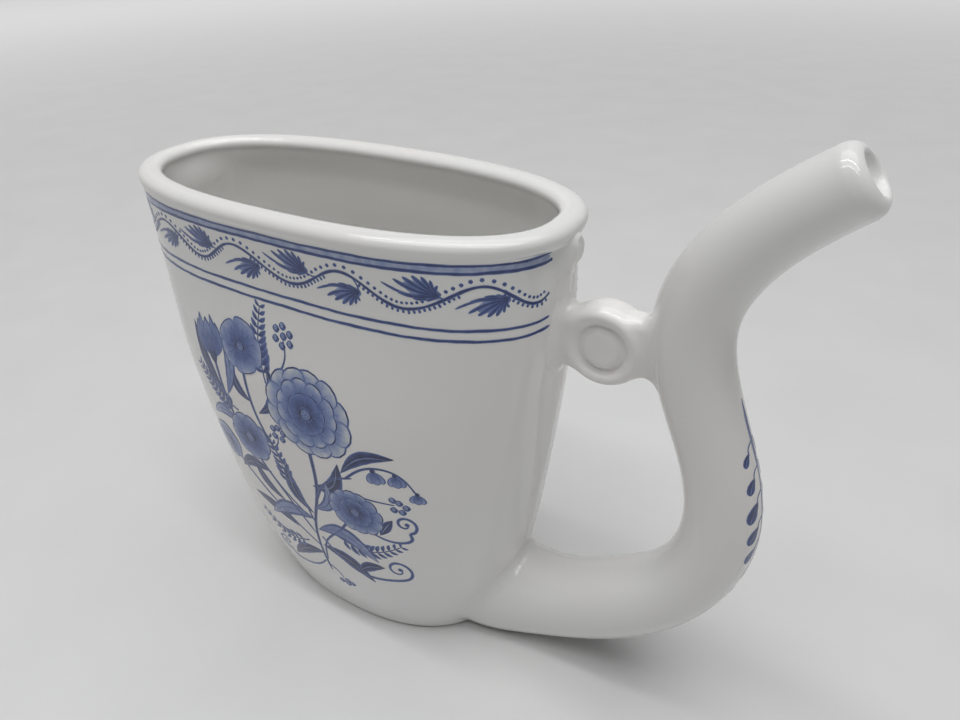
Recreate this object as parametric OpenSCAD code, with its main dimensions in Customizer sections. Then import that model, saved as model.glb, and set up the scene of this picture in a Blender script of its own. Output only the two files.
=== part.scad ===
// Flat oval spa cup of glazed porcelain. The handle is hollow: it leaves the foot of one narrow
// end, rises in a loop and ends in a mouthpiece above the rim, so the water is drunk through it.
// A round medallion ties the handle to the wall, and a leaf in relief runs down the wall behind it.
// X runs along the cup towards the handle, Y across it, Z up. The origin is the middle of the foot,
// on the surface that the cup stands on.

/* [Cup] */
// Height of the rim above the table
cup_h = 100; // [88:1:115]
// Length of the cup over its lip
lip_l = 97; // [92:1:104]
// Width of the cup over its lip
lip_w = 42.8; // [39:0.1:48]
// Width of the rolled lip, seen from above
lip_roll_w = 4.7; // [3.8:0.1:5.5]
// Height of the rolled lip
lip_roll_h = 3.4; // [2.4:0.1:4.4]
// Length of the cup at the throat, right under the lip
throat_l = 91.4; // [88:0.1:94]
// Width of the cup at the throat
throat_w = 41.5; // [38:0.1:46]
// Length of the cup at the neck, the hollow under the lip
neck_l = 92.7; // [88:0.1:96]
// Width of the cup at the neck
neck_w = 41; // [38:0.1:46]
// Length of the cup at the shoulder
shoulder_l = 89.4; // [86:0.1:93]
// Width of the cup at the shoulder
shoulder_w = 47.1; // [43:0.1:51]
// Length of the cup at the belly
belly_l = 81; // [77:0.1:86]
// Width of the cup at the belly, its widest place
belly_w = 48.1; // [44:0.1:53]
// Length of the cup at the heel, where the wall turns in to the foot
heel_l = 71.1; // [68:0.1:75]
// Width of the cup at the heel
heel_w = 44.1; // [41:0.1:48]
// Length of the foot
foot_l = 61.5; // [58:0.1:65]
// Width of the foot
foot_w = 39; // [36:0.1:42]
// Depth of the neck below the rim
neck_drop = 12; // [9:0.5:15]
// Depth of the shoulder below the rim
shoulder_drop = 35; // [30:1:40]
// Height of the belly above the table
belly_h = 35; // [30:1:38]
// Height of the heel above the table
heel_h = 12; // [9:0.5:15]
// Radius of the foot's outer edge
foot_edge = 0.9; // [0.5:0.1:1.5]
// Thickness of the wall
wall = 3.2; // [2.4:0.1:4]
// Thickness of the floor
floor_t = 4; // [3:0.1:4.2]
// Radius where the floor turns up into the wall
floor_r = 6; // [3:0.5:8]
// Width of the ring that the cup stands on
foot_ring_w = 3; // [2:0.1:5]
// Depth of the hollow inside the foot ring
foot_hollow = 1; // [0.4:0.1:1.6]
// Squareness of the oval at the foot, where 2 is an ellipse
foot_square = 2.28; // [2:0.01:2.8]
// Squareness of the oval at the neck
neck_square = 2.85; // [2.2:0.01:3.2]
// Squareness of the oval at the lip
lip_square = 2.45; // [2:0.01:3]

/* [Drinking tube] */
// Farthest reach of the tube's middle line past the lip
loop_reach = 29.1; // [26:0.1:34]
// Reach of the mouth's middle past the lip
mouth_reach = 38.5; // [35:0.1:43]
// Rise of the mouth's middle above the rim
mouth_rise = 12.7; // [10:0.1:17]
// Height of the tube's middle line where it leaves the foot
root_h = 8.3; // [8.2:0.1:9.5]
// Radius of the tube where it leaves the cup
root_r = 9.8; // [9:0.1:10.5]
// Widening of the tube at its very end, where it melts into the wall
root_flare = 2.2; // [1:0.1:3]
// Radius of the tube in its lower bend
bend_r = 8; // [7.2:0.1:9]
// Radius of the tube at half height, where the hand holds it
grip_r = 6.5; // [5.8:0.1:7.5]
// Radius of the tube at the mouthpiece
mouth_r = 5.1; // [4.6:0.1:6]
// Radius of the mouthpiece's rounded edge
mouth_edge = 2; // [1.2:0.1:2]
// Radius of the bore through the lower bend
bore_r = 4; // [3.2:0.1:4.6]
// Radius of the hole in the mouthpiece
mouth_hole_r = 1.7; // [1.2:0.1:2]
// Depth of the dished recess round the mouthpiece's hole
mouth_dish = 1.3; // [0.6:0.1:2]
// Gap between the underside of the tube and the table
table_gap = 0.4; // [0.2:0.1:1]

/* [Medallion] */
// Radius of the medallion
disc_r = 7.5; // [7:0.1:7.8]
// Depth of the medallion's centre below the rim
disc_drop = 20.2; // [18:0.1:26]
// Shift of the medallion towards the tube from midway
disc_shift = -0.4; // [-0.6:0.1:0.4]
// Thickness of the medallion over its two rings
disc_t = 6.4; // [5.8:0.1:8]
// Radius of the boss in the middle
boss_r = 3.5; // [2.8:0.1:3.8]
// Width of the boss's rounded edge
boss_edge = 0.8; // [0.5:0.1:1]
// Thickness of the medallion over its two bosses
boss_t = 6; // [5.4:0.1:7]
// Radius of the groove's deepest line
groove_r = 4.2; // [4:0.1:4.6]
// Thickness of the medallion between its two grooves
groove_t = 4.8; // [4.4:0.1:5.2]
// Radius of the fillet on top of the medallion's neck at the wall
wall_fillet = 2; // [1.2:0.1:2.6]
// Radius of the fillet on top of the medallion's neck at the tube
tube_fillet = 1.2; // [0.6:0.1:1.6]
// Radius of the fillets under both necks
low_fillet = 2.2; // [1.2:0.1:2.6]
// Thickness of the medallion's neck into the wall
wall_neck_t = 5.6; // [4.6:0.1:5.8]
// Thickness of the medallion's neck into the tube
tube_neck_t = 4; // [3:0.1:5.5]

/* [Relief leaf] */
// Width of the leaf behind the medallion, its widest place
leaf_w = 10.8; // [8:0.1:12]
// Width of the leaf's stem, right under the shield
stem_w = 4.2; // [3.4:0.1:6]
// Width of the shield under the lip
shield_w = 6; // [5:0.1:11]
// Height of the shield, from its stem to the lip
shield_h = 6.8; // [6:0.1:8.5]
// Height of the leaf over the wall
leaf_proud = 1.1; // [0.7:0.1:1.6]
// Height of the shield over the wall
shield_proud = 3.3; // [1.4:0.1:3.6]
// Height of the leaf's lower tip above the table
leaf_tip_h = 25; // [24:1:34]

/* [Fineness] */
// Points round the cup
cup_sides = 72; // [48:4:80]
// Points round the tube
tube_sides = 24; // [16:4:28]

/* [Hidden] */
glaze = [0.9, 0.9, 0.88];
$fn = 64;

// Heights of the wall's stations above the table
throat_z = cup_h - lip_roll_h;
neck_z = cup_h - neck_drop;
shoulder_z = cup_h - shoulder_drop;
wall_z = [0, heel_h, belly_h, shoulder_z, neck_z, throat_z];
wall_half = [
    [foot_l, foot_w] / 2,
    [heel_l, heel_w] / 2,
    [belly_l, belly_w] / 2,
    [shoulder_l, shoulder_w] / 2,
    [neck_l, neck_w] / 2,
    [throat_l, throat_w] / 2
];

// A natural cubic spline through values v, which may be numbers or points, at the places s.
// Its second derivatives at the places come from one pass down the list and one back up.
function pass_down(s, v, i = 1, c = 0, d = undef) =
    let (
        before = is_undef(d) ? 0 * v[0] : d,
        h0 = s[i] - s[i - 1],
        h1 = s[i + 1] - s[i],
        pivot = 2 * (h0 + h1) - h0 * c,
        pull = 6 * ((v[i + 1] - v[i]) / h1 - (v[i] - v[i - 1]) / h0),
        next_c = h1 / pivot,
        next_d = (pull - h0 * before) / pivot,
        rest = i + 2 < len(s) ? pass_down(s, v, i + 1, next_c, next_d) : []
    )
    concat([[next_c, next_d]], rest);
function pass_up(rows, i, after) =
    let (bend = rows[i][1] - rows[i][0] * after)
    i == 0 ? [bend] : concat(pass_up(rows, i - 1, bend), [bend]);
function spline_bends(s, v) =
    let (rows = pass_down(s, v))
    concat([0 * v[0]], pass_up(rows, len(rows) - 1, 0 * v[0]), [0 * v[0]]);
function span_of(s, t) =
    min([for (k = [1 : len(s) - 1]) if (t <= s[k] || k == len(s) - 1) k - 1]);
function spline_at(s, v, bends, t) =
    let (
        i = span_of(s, t),
        h = s[i + 1] - s[i],
        p = (s[i + 1] - t) / h,
        q = (t - s[i]) / h
    )
    p * v[i] + q * v[i + 1]
        + ((pow(p, 3) - p) * bends[i] + (pow(q, 3) - q) * bends[i + 1]) * h * h / 6;
function smooth_step(t) = let (u = max(0, min(1, t))) u * u * (3 - 2 * u);

// The oval of the cup, a superellipse, and the outer wall's half length, half width and squareness
function oval_point(half, square, t) = [
    half[0] * sign(cos(t)) * pow(abs(cos(t)), 2 / square),
    half[1] * sign(sin(t)) * pow(abs(sin(t)), 2 / square)
];
wall_bends = spline_bends(wall_z, wall_half);
function wall_at(z) = spline_at(wall_z, wall_half, wall_bends, z);
function square_at(z) = foot_square + (neck_square - foot_square) * min(z, neck_z) / neck_z;
function wall_x(z, y) =
    let (half = wall_at(z), square = square_at(z))
    half[0] * pow(max(0, 1 - pow(abs(y) / half[1], square)), 1 / square);

// A ring of the cup is [half sizes, squareness, height]. Inset draws it in by the same amount
// all round.
function wall_ring(z, inset = 0) = [wall_at(z) - [inset, inset], square_at(z), z];
function ring_points(ring, sides) =
    [for (k = [0 : sides - 1]) concat(oval_point(ring[0], ring[1], 360 * k / sides), [ring[2]])];

// Triangles between rings of points, with the first and last ring closed by flat caps, or with
// the last ring joined to the first
function skin_faces(rings, sides, looped = false) = concat(
    [
        for (r = [0 : (looped ? rings : rings - 1) - 1], k = [0 : sides - 1], half = [0, 1])
            let (
                here = r * sides,
                next = ((r + 1) % rings) * sides,
                m = (k + 1) % sides
            )
            half == 0 ? [here + k, next + k, next + m] : [here + k, next + m, here + m]
    ],
    looped ? [] : [
        [for (k = [0 : sides - 1]) k],
        [for (k = [sides - 1 : -1 : 0]) (rings - 1) * sides + k]
    ]
);
module skin(rings, sides, looped = false) {
    points = [for (ring = rings) each ring];
    polyhedron(points, skin_faces(len(rings), sides, looped), convexity = 8);
}

// The rolled lip's section is an ellipse, followed from below its outside over the top to its inside
lip_half = [lip_l - lip_roll_w, lip_w - lip_roll_w] / 2;
function lip_ring(angle) = [
    lip_half + [1, 1] * lip_roll_w / 2 * cos(angle),
    lip_square,
    cup_h - lip_roll_h / 2 * (1 - sin(angle))
];
// Heights of the rings on the outer wall: steps[i] rings up to each station
ring_steps = [4, 5, 5, 4, 3];
outer_z = concat(
    [0, foot_edge * 0.28, foot_edge],
    [
        for (i = [0 : len(ring_steps) - 1], k = [1 : ring_steps[i]])
            let (low = max(wall_z[i], foot_edge))
            low + (wall_z[i + 1] - low) * k / ring_steps[i]
    ]
);
function foot_inset(z) =
    z >= foot_edge ? 0 : foot_edge - sqrt(foot_edge * foot_edge - pow(foot_edge - z, 2));
outer_rings = [for (z = outer_z) wall_ring(z, foot_inset(z))];
lip_rings = [for (angle = [-45 : 22.5 : 202.5]) lip_ring(angle)];
inner_low = floor_t + floor_r;
inner_high = throat_z - lip_roll_h;
inner_steps = 10;
inner_rings = [
    for (i = [0 : inner_steps - 1])
        wall_ring(inner_high - (inner_high - inner_low) * i / inner_steps, wall)
];
floor_rings = [
    for (angle = [0 : 22.5 : 90])
        wall_ring(inner_low - floor_r * sin(angle), wall + floor_r * (1 - cos(angle)))
];
foot_inner = foot_ring_w + foot_edge;
under_rings = [
    wall_ring(foot_hollow, foot_inner + foot_hollow * 1.2),
    wall_ring(foot_hollow * 0.3, foot_inner + foot_hollow * 0.3),
    wall_ring(0, foot_inner)
];
cup_rings = concat(under_rings, outer_rings, lip_rings, inner_rings, floor_rings);

// Solid inside of the cup's outer skin at the handle's end, between two heights and as many
// points to each side as reach says. The other pieces are fitted to it.
skin_rings = concat(outer_rings, [for (angle = [-45 : 22.5 : 90]) lip_ring(angle)]);
wide_reach = floor(cup_sides / 6);
slim_reach = floor(cup_sides / 12);
module end_block(low, high, reach) {
    rings = [for (ring = skin_rings) if (ring[2] >= low && ring[2] <= high) ring];
    skin(
        [
            for (ring = rings)
                [
                    for (k = [-reach : reach])
                        concat(oval_point(ring[0], ring[1], 360 * k / cup_sides), [ring[2]])
                ]
        ],
        2 * reach + 1
    );
}

// Middle line of the tube from inside the wall's foot to the mouth, in the plane y = 0. Its loop
// is drawn in shares of the reach past the lip and of the cup's height, its top in shares of the
// mouth's reach and rise.
lip_x = lip_l / 2;
root_x = foot_l / 2;
tube_line = [
    [root_x - root_r * 0.41, root_h],
    [root_x + root_r * 0.15, root_h],
    [root_x + root_r * 1.05, root_h + root_r * 0.14],
    [lip_x + loop_reach * 0.543, cup_h * 0.224],
    [lip_x + loop_reach * 0.835, cup_h * 0.321],
    [lip_x + loop_reach, cup_h * 0.495],
    [lip_x + loop_reach * 0.887, cup_h * 0.653],
    [lip_x + loop_reach * 0.691, cup_h * 0.896],
    [lip_x + mouth_reach * 0.683, cup_h + mouth_rise * 0.14],
    [lip_x + mouth_reach, cup_h + mouth_rise]
];
tube_radii = [
    root_r + root_flare, root_r + root_flare * 0.77, root_r, bend_r, bend_r * 0.875,
    grip_r, grip_r * 0.95, grip_r * 0.97, mouth_r * 1.13, mouth_r
];
function running_length(points, i = 0, sum = 0) =
    i == len(points) ? [] : concat(
        [sum + (i == 0 ? 0 : norm(points[i] - points[i - 1]))],
        running_length(points, i + 1, sum + (i == 0 ? 0 : norm(points[i] - points[i - 1])))
    );
tube_s = running_length(tube_line);
tube_l = tube_s[len(tube_s) - 1];
line_bends = spline_bends(tube_s, tube_line);
radius_bends = spline_bends(tube_s, tube_radii);
function line_at(s) = spline_at(tube_s, tube_line, line_bends, s);
function radius_at(s) = spline_at(tube_s, tube_radii, radius_bends, s);
function heading_at(s) =
    let (
        near = tube_l / 1000,
        step = line_at(min(s + near, tube_l)) - line_at(max(s - near, 0))
    )
    step / norm(step);

// A circle of points round the middle line at a length s along it. The underside stays above
// the table.
function tube_ring(s, r) =
    let (mid = line_at(s), ahead = heading_at(s))
    [
        for (k = [0 : tube_sides - 1])
            let (angle = 360 * k / tube_sides, off = r * cos(angle))
            [mid[0] - off * ahead[1], -r * sin(angle), max(mid[1] + off * ahead[0], table_gap)]
    ];
dish_r = mouth_r * 0.96 - mouth_edge;
bore_top_r = mouth_hole_r + mouth_r * 0.24;
tube_steps = 46;
bore_steps = 26;
body_s = tube_l - mouth_edge;
bore_end_s = tube_l - mouth_dish - bore_r;
outer_tube = [
    for (i = [0 : tube_steps])
        let (s = body_s * i / tube_steps) tube_ring(s, radius_at(s))
];
mouth_lip = [
    for (angle = [22.5 : 22.5 : 90])
        tube_ring(body_s + mouth_edge * sin(angle), mouth_r - mouth_edge * (1 - cos(angle)))
];
mouth_dish_rings = [
    tube_ring(tube_l - mouth_dish * 0.25, dish_r),
    tube_ring(tube_l - mouth_dish * 0.75, (dish_r + mouth_hole_r) / 2),
    tube_ring(tube_l - mouth_dish, mouth_hole_r * 1.12),
    tube_ring(tube_l - mouth_dish * 1.45, mouth_hole_r)
];
function bore_at(s) =
    let (u = s / bore_end_s)
    bore_r + (bore_top_r - bore_r) * smooth_step((u - 0.35) / 0.6);
bore_rings = [
    for (i = [bore_steps : -1 : 0])
        let (s = bore_end_s * i / bore_steps) tube_ring(s, bore_at(s))
];

// Where the medallion sits: between the wall and the tube, at its own height. The line and radius
// of the tube's upper half are looked up by height.
disc_z = cup_h - disc_drop;
upper_s = [for (i = [0 : 60]) tube_l * (0.45 + 0.5 * i / 60)];
function tube_x(z) = lookup(z, [for (s = upper_s) [line_at(s)[1], line_at(s)[0]]]);
function tube_r(z) = lookup(z, [for (s = upper_s) [line_at(s)[1], radius_at(s)]]);
disc_low = disc_z - disc_r / 2;
disc_high = disc_z + disc_r / 2;
tube_lean = atan((tube_x(disc_low) - tube_x(disc_high)) / disc_r);
wall_lean = atan((wall_x(disc_high, 0) - wall_x(disc_low, 0)) / disc_r);
wall_edge = wall_x(disc_z, 0) + leaf_proud;
tube_edge = tube_x(disc_z) - tube_r(disc_z) / cos(tube_lean);
disc_x = (wall_edge + tube_edge) / 2 + disc_shift;

// Reach of the two necks, a little into the wall and the tube
neck_seat = disc_r * 0.085;
tube_reach = (tube_edge - disc_x) * cos(tube_lean) + neck_seat;
wall_reach = (disc_x - wall_edge) * cos(wall_lean) + neck_seat;
disc_tube = [for (ring = outer_tube) if (abs(ring[0][2] - disc_z) < 2 * disc_r) ring];

module cup_body() {
    color(glaze)
    difference() {
        skin([for (ring = cup_rings) ring_points(ring, cup_sides)], cup_sides);
        root_passage();
    }
}

// Way for the water from the cup's floor into the tube
module root_passage() {
    from = root_x - wall - floor_r * 0.8;
    to = wall_at(heel_h)[0] + wall;
    translate([from, 0, root_h])
    rotate([0, 90, 0])
    cylinder(r = bore_r, h = to - from);
}

module drinking_tube() {
    color(glaze)
    difference() {
        skin(concat(outer_tube, mouth_lip, mouth_dish_rings, bore_rings), tube_sides, looped = true);
        end_block(0, cup_h * 0.43, wide_reach);
    }
}

// Half section of the medallion: a rounded ring, a groove and a boss with a rounded edge
ring_mid = (disc_r + groove_r) / 2;
boss_flat = boss_r - boss_edge;
function boss_share(r) = smooth_step((groove_r - r) / (groove_r - boss_flat));
function ring_share(r) = sin(90 * min(1, (r - groove_r) / (ring_mid - groove_r)));
function disc_half_t(r) =
    r <= boss_flat ? boss_t / 2
    : r <= groove_r ? (groove_t + (boss_t - groove_t) * boss_share(r)) / 2
    : (groove_t + (disc_t - groove_t) * ring_share(r)) / 2;
module medallion() {
    inside = [for (i = [0 : 24]) let (r = ring_mid * i / 24) [r, disc_half_t(r)]];
    edge = [
        for (angle = [82.5 : -7.5 : 0])
            [ring_mid + (disc_r - ring_mid) * cos(angle), disc_t / 2 * sin(angle)]
    ];
    upper = concat(inside, edge);
    lower = [for (i = [len(upper) - 2 : -1 : 0]) [upper[i][0], -upper[i][1]]];
    rotate([90, 0, 0])
    rotate_extrude()
    polygon(concat(upper, lower));
}

// Neck from the medallion's ring to a straight surface at a distance from its centre, with fillets
// below and above that touch both the medallion and the surface
module disc_neck(reach, thickness, below, above) {
    past = disc_r * 0.35;
    fillets = [[below, -1], [above, 1]];
    centres = [
        for (f = fillets)
            [reach - f[0], f[1] * sqrt(pow(disc_r + f[0], 2) - pow(reach - f[0], 2))]
    ];
    rotate([90, 0, 0])
    linear_extrude(thickness, center = true)
    difference() {
        polygon([
            [0, 0], centres[1], [reach + past, centres[1][1]],
            [reach + past, centres[0][1]], centres[0]
        ]);
        circle(ring_mid);
        for (i = [0, 1])
            translate(centres[i])
            circle(fillets[i][0]);
    }
}

module bridge_disc() {
    color(glaze)
    difference() {
        translate([disc_x, 0, disc_z])
        union() {
            medallion();
            rotate([0, -tube_lean, 0])
            disc_neck(tube_reach, tube_neck_t, low_fillet, tube_fillet);
            rotate([0, 180 + wall_lean, 0])
            disc_neck(wall_reach, wall_neck_t, wall_fillet, low_fillet);
        }
        end_block(disc_z - 3 * disc_r, neck_z, slim_reach);
        leaf_block();
        skin(disc_tube, tube_sides);
    }
}

// Leaf in relief down the narrow end, its top tucked into the lip. Stations are
// [height, half width, height over the wall].
leaf_top = cup_h - lip_roll_h / 2;
leaf_middle = (leaf_tip_h + disc_z) * 0.475;
shield_low = throat_z - shield_h;
leaf_stations = [
    [leaf_tip_h, leaf_w * 0.03, leaf_proud * 0.1],
    [leaf_tip_h + (leaf_middle - leaf_tip_h) * 0.36, leaf_w * 0.14, leaf_proud * 0.7],
    [leaf_middle, leaf_w * 0.28, leaf_proud],
    [disc_z - disc_r * 1.25, leaf_w / 2, leaf_proud],
    [disc_z, leaf_w * 0.43, leaf_proud],
    [disc_z + disc_r * 0.7, stem_w * 0.62, leaf_proud],
    [shield_low, stem_w / 2, leaf_proud],
    [shield_low + shield_h * 0.19, shield_w * 0.31, shield_proud * 0.55],
    [shield_low + shield_h * 0.38, shield_w * 0.43, shield_proud * 0.85],
    [shield_low + shield_h * 0.6, shield_w * 0.49, shield_proud],
    [shield_low + shield_h * 0.8, shield_w / 2, shield_proud],
    [throat_z, shield_w / 2, shield_proud * 0.9],
    [leaf_top, shield_w / 2, leaf_proud * 0.1]
];
function leaf_at(z, column) = lookup(z, [for (p = leaf_stations) [p[0], p[column]]]);
leaf_across = 8;
row_steps = [2, 3, 3, 3, 3, 2, 1, 1, 1, 1, 1, 1];
leaf_z = [
    for (i = [0 : len(row_steps) - 1], k = [0 : row_steps[i] - 1])
        let (low = leaf_stations[i][0])
        low + (leaf_stations[i + 1][0] - low) * k / row_steps[i],
    leaf_top
];
leaf_root = wall / 2;
leaf_sink = leaf_proud * 0.27;
// The leaf's face over the wall, u from one edge at -1 to the other at 1, or its root in the wall
function leaf_point(z, u, root) =
    let (
        y = u * leaf_at(z, 1),
        skin_x = wall_x(min(z, throat_z), y),
        proud = leaf_at(z, 2) * (1 - pow(u, 4)) - leaf_sink * pow(u, 4)
    )
    [skin_x + (root ? -leaf_root : proud), y, z];
module leaf_block() {
    across = [for (k = [0 : leaf_across]) 2 * k / leaf_across - 1];
    rings = [
        for (z = leaf_z)
            concat(
                [for (u = across) leaf_point(z, u, false)],
                [for (u = across) leaf_point(z, -u, true)]
            )
    ];
    skin(rings, 2 * (leaf_across + 1));
}
module relief_leaf() {
    color(glaze)
    difference() {
        leaf_block();
        end_block(heel_h, cup_h, slim_reach);
    }
}

cup_body();
drinking_tube();
bridge_disc();
relief_leaf();
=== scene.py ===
import math

import bpy
import numpy as np
from mathutils import Matrix, Vector


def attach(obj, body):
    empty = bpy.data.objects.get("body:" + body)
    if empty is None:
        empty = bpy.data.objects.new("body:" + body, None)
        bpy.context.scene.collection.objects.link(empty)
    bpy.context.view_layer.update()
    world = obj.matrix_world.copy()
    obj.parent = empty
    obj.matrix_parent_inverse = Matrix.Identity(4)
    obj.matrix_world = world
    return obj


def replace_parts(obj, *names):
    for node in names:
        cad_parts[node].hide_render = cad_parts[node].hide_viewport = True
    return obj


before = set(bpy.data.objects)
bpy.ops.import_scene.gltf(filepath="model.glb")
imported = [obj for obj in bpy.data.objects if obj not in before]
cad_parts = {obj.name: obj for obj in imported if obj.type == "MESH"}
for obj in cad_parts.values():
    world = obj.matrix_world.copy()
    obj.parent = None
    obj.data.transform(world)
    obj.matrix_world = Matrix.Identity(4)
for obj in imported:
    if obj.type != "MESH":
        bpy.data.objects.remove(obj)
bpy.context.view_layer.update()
scene = bpy.context.scene
MM = 0.001

# Sizes of the cup in millimetres, as in the part's source. The medallion's boss and groove are
# cut deeper here, and the lip, the shield and the fillets are drawn softer.
CUP_H = 100.0
LIP_L, LIP_W = 97.0, 42.8
LIP_ROLL_W, LIP_ROLL_H = 4.7, 3.4
WALL_Z = [0, 12, 35, 65, 88, CUP_H - LIP_ROLL_H]
WALL_L = [61.5, 71.1, 81, 89.4, 92.7, 91.4]
WALL_W = [39, 44.1, 48.1, 47.1, 41, 41.5]
THROAT_Z = WALL_Z[-1]
NECK_Z = WALL_Z[-2]
LIP_MID_Z = CUP_H - LIP_ROLL_H / 2
LIP_HANG = 1.8
JOINT_Z, LIP_START = 88, 96.1
WALL_T = 3.2
FLOOR_T, FLOOR_R = 4.0, 6.0
FOOT_RING_W, FOOT_HOLLOW, FOOT_EDGE = 3.0, 1.0, 0.9
FOOT_SQUARE, NECK_SQUARE, LIP_SQUARE = 2.28, 2.85, 2.45
LOOP_REACH, MOUTH_REACH, MOUTH_RISE = 29.1, 38.5, 12.7
ROOT_H, ROOT_R, ROOT_FLARE = 8.3, 9.8, 2.2
BEND_R, GRIP_R, MOUTH_R, MOUTH_EDGE = 8.0, 6.5, 5.1, 2.0
BORE_R, HOLE_R, MOUTH_DISH, TABLE_GAP = 4.0, 1.7, 1.3, 0.4
DISC_R, DISC_DROP, DISC_SHIFT, DISC_T = 7.5, 20.2, -0.4, 6.4
BOSS_R, BOSS_EDGE, BOSS_T, GROOVE_R, GROOVE_T = 3.5, 0.8, 5.9, 4.2, 4.3
LEAF_W, STEM_W, SHIELD_W, SHIELD_H = 10.8, 4.2, 6.0, 6.8
LEAF_PROUD, SHIELD_PROUD, LEAF_TIP = 1.1, 3.3, 25.0
DISC_Z = CUP_H - DISC_DROP


# ---- curves and the wall's surface ----

def natural_spline(places, values):
    """A natural cubic spline through values at places, as a function of an array."""
    s = np.asarray(places, float)
    v = np.asarray(values, float)
    n = len(s)
    h = np.diff(s)
    system = np.zeros((n, n))
    pull = np.zeros_like(v)
    system[0, 0] = system[-1, -1] = 1
    for i in range(1, n - 1):
        system[i, i - 1:i + 2] = h[i - 1], 2 * (h[i - 1] + h[i]), h[i]
        pull[i] = 6 * ((v[i + 1] - v[i]) / h[i] - (v[i] - v[i - 1]) / h[i - 1])
    bends = np.linalg.solve(system, pull)

    def at(t):
        t = np.asarray(t, float)
        i = np.clip(np.searchsorted(s, t) - 1, 0, n - 2)
        step = s[i + 1] - s[i]
        p = (s[i + 1] - t) / step
        q = (t - s[i]) / step
        if v.ndim == 2:
            step, p, q = step[..., None], p[..., None], q[..., None]
        return (
            p * v[i] + q * v[i + 1]
            + ((p**3 - p) * bends[i] + (q**3 - q) * bends[i + 1]) * step**2 / 6
        )

    return at


def run_along(line):
    """Length along a line at each of its points."""
    return np.concatenate([[0], np.cumsum(np.linalg.norm(np.diff(line, axis=0), axis=1))])


def unit(v):
    return v / np.linalg.norm(v, axis=-1, keepdims=True)


def smooth_step(t):
    t = np.clip(t, 0, 1)
    return t * t * (3 - 2 * t)


wall_half = natural_spline(WALL_Z, np.array([WALL_L, WALL_W]).T / 2)


def wall_square(z):
    return FOOT_SQUARE + (NECK_SQUARE - FOOT_SQUARE) * np.minimum(z, NECK_Z) / NECK_Z


def wall_ratio(p):
    """Below 1 inside the cup's outer skin and above 1 outside it, for an array of points."""
    z = np.clip(p[..., 2], 0, THROAT_Z)
    half = wall_half(z)
    n = wall_square(z)
    x = np.abs(p[..., 0]) / half[..., 0] + 1e-9
    y = np.abs(p[..., 1]) / half[..., 1] + 1e-9
    return (x**n + y**n) ** (1 / n)


def slope_of(field, p, step=0.02):
    """Gradient of a field at points, by central differences."""
    out = np.empty_like(p)
    for axis in range(3):
        move = np.zeros(3)
        move[axis] = step
        out[..., axis] = (field(p + move) - field(p - move)) / (2 * step)
    return out


def wall_distance(p):
    """Distance outside the wall's outer skin, near it."""
    slope = slope_of(wall_ratio, p)
    return (wall_ratio(p) - 1) / (np.linalg.norm(slope, axis=-1) + 1e-9)


def wall_x(z, y):
    z = np.minimum(z, THROAT_Z)
    half = wall_half(z)
    n = wall_square(z)
    return half[..., 0] * np.maximum(0, 1 - (np.abs(y) / half[..., 1]) ** n) ** (1 / n)


def quarter_oval(a, b, n, count):
    """Points evenly along a quarter of an oval, from (0, b) to (a, 0), and its length."""
    angle = np.linspace(0, math.pi / 2, 1601)
    x = a * np.sin(angle) ** (2 / n)
    y = b * np.clip(np.cos(angle), 0, 1) ** (2 / n)
    run = np.concatenate([[0], np.cumsum(np.hypot(np.diff(x), np.diff(y)))])
    places = np.linspace(0, run[-1], count + 1)
    return np.interp(places, run, x), np.interp(places, run, y), run[-1]


TABLE_Z = np.linspace(0, THROAT_Z, 130)
TABLE_STEPS = 360


def wall_table():
    rows = [quarter_oval(*wall_half(z), float(wall_square(z)), TABLE_STEPS) for z in TABLE_Z]
    return (
        np.array([np.stack(row[:2], -1) for row in rows]),
        np.array([row[2] for row in rows]),
    )


WALL_ROWS, WALL_RUNS = wall_table()
LIP_ROW = np.stack(quarter_oval(LIP_L / 2, LIP_W / 2, LIP_SQUARE, TABLE_STEPS)[:2], -1)


def table_column(f):
    """The table's column before each share f, and the way on to the next one."""
    column = np.clip(f, 0, 1) * TABLE_STEPS
    j = np.clip(column.astype(int), 0, TABLE_STEPS - 1)
    return j, (column - j)[..., None]


def quarter_wall(f, z):
    """x and y of the wall in one quarter, at shares f from the middle of the side to the end."""
    row = np.clip(z / THROAT_Z, 0, 1) * (len(TABLE_Z) - 1)
    i = np.clip(row.astype(int), 0, len(TABLE_Z) - 2)
    v = (row - i)[..., None]
    j, u = table_column(f)
    low = WALL_ROWS[i, j] * (1 - u) + WALL_ROWS[i, j + 1] * u
    high = WALL_ROWS[i + 1, j] * (1 - u) + WALL_ROWS[i + 1, j + 1] * u
    return low * (1 - v) + high * v


def quarter_lip(f):
    j, u = table_column(f)
    return LIP_ROW[j] * (1 - u) + LIP_ROW[j + 1] * u


MELT_TOP, MELT_RUN, MELT_POWER = 98.0, 2.6, 2.5
NEAR_F, NEAR_SPAN, NEAR_RUN, NEAR_POWER = 0.93, 0.06, 4.2, -0.2


def melt(f, z, side):
    """How far the wall has come out to the lip: late and fast, but early beside the tube."""
    near = smooth_step((f - NEAR_F) / NEAR_SPAN) * (np.asarray(side) > 0)
    run = MELT_RUN + NEAR_RUN * near
    return np.clip((z - MELT_TOP + run) / run, 0, 1) ** (MELT_POWER + NEAR_POWER * near)


def quarter_skin(f, z, side):
    wall = quarter_wall(f, z)
    return wall + (quarter_lip(f) - wall) * melt(f, z, side)[..., None]


def wall_run(z):
    return np.interp(z, TABLE_Z, WALL_RUNS)


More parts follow.
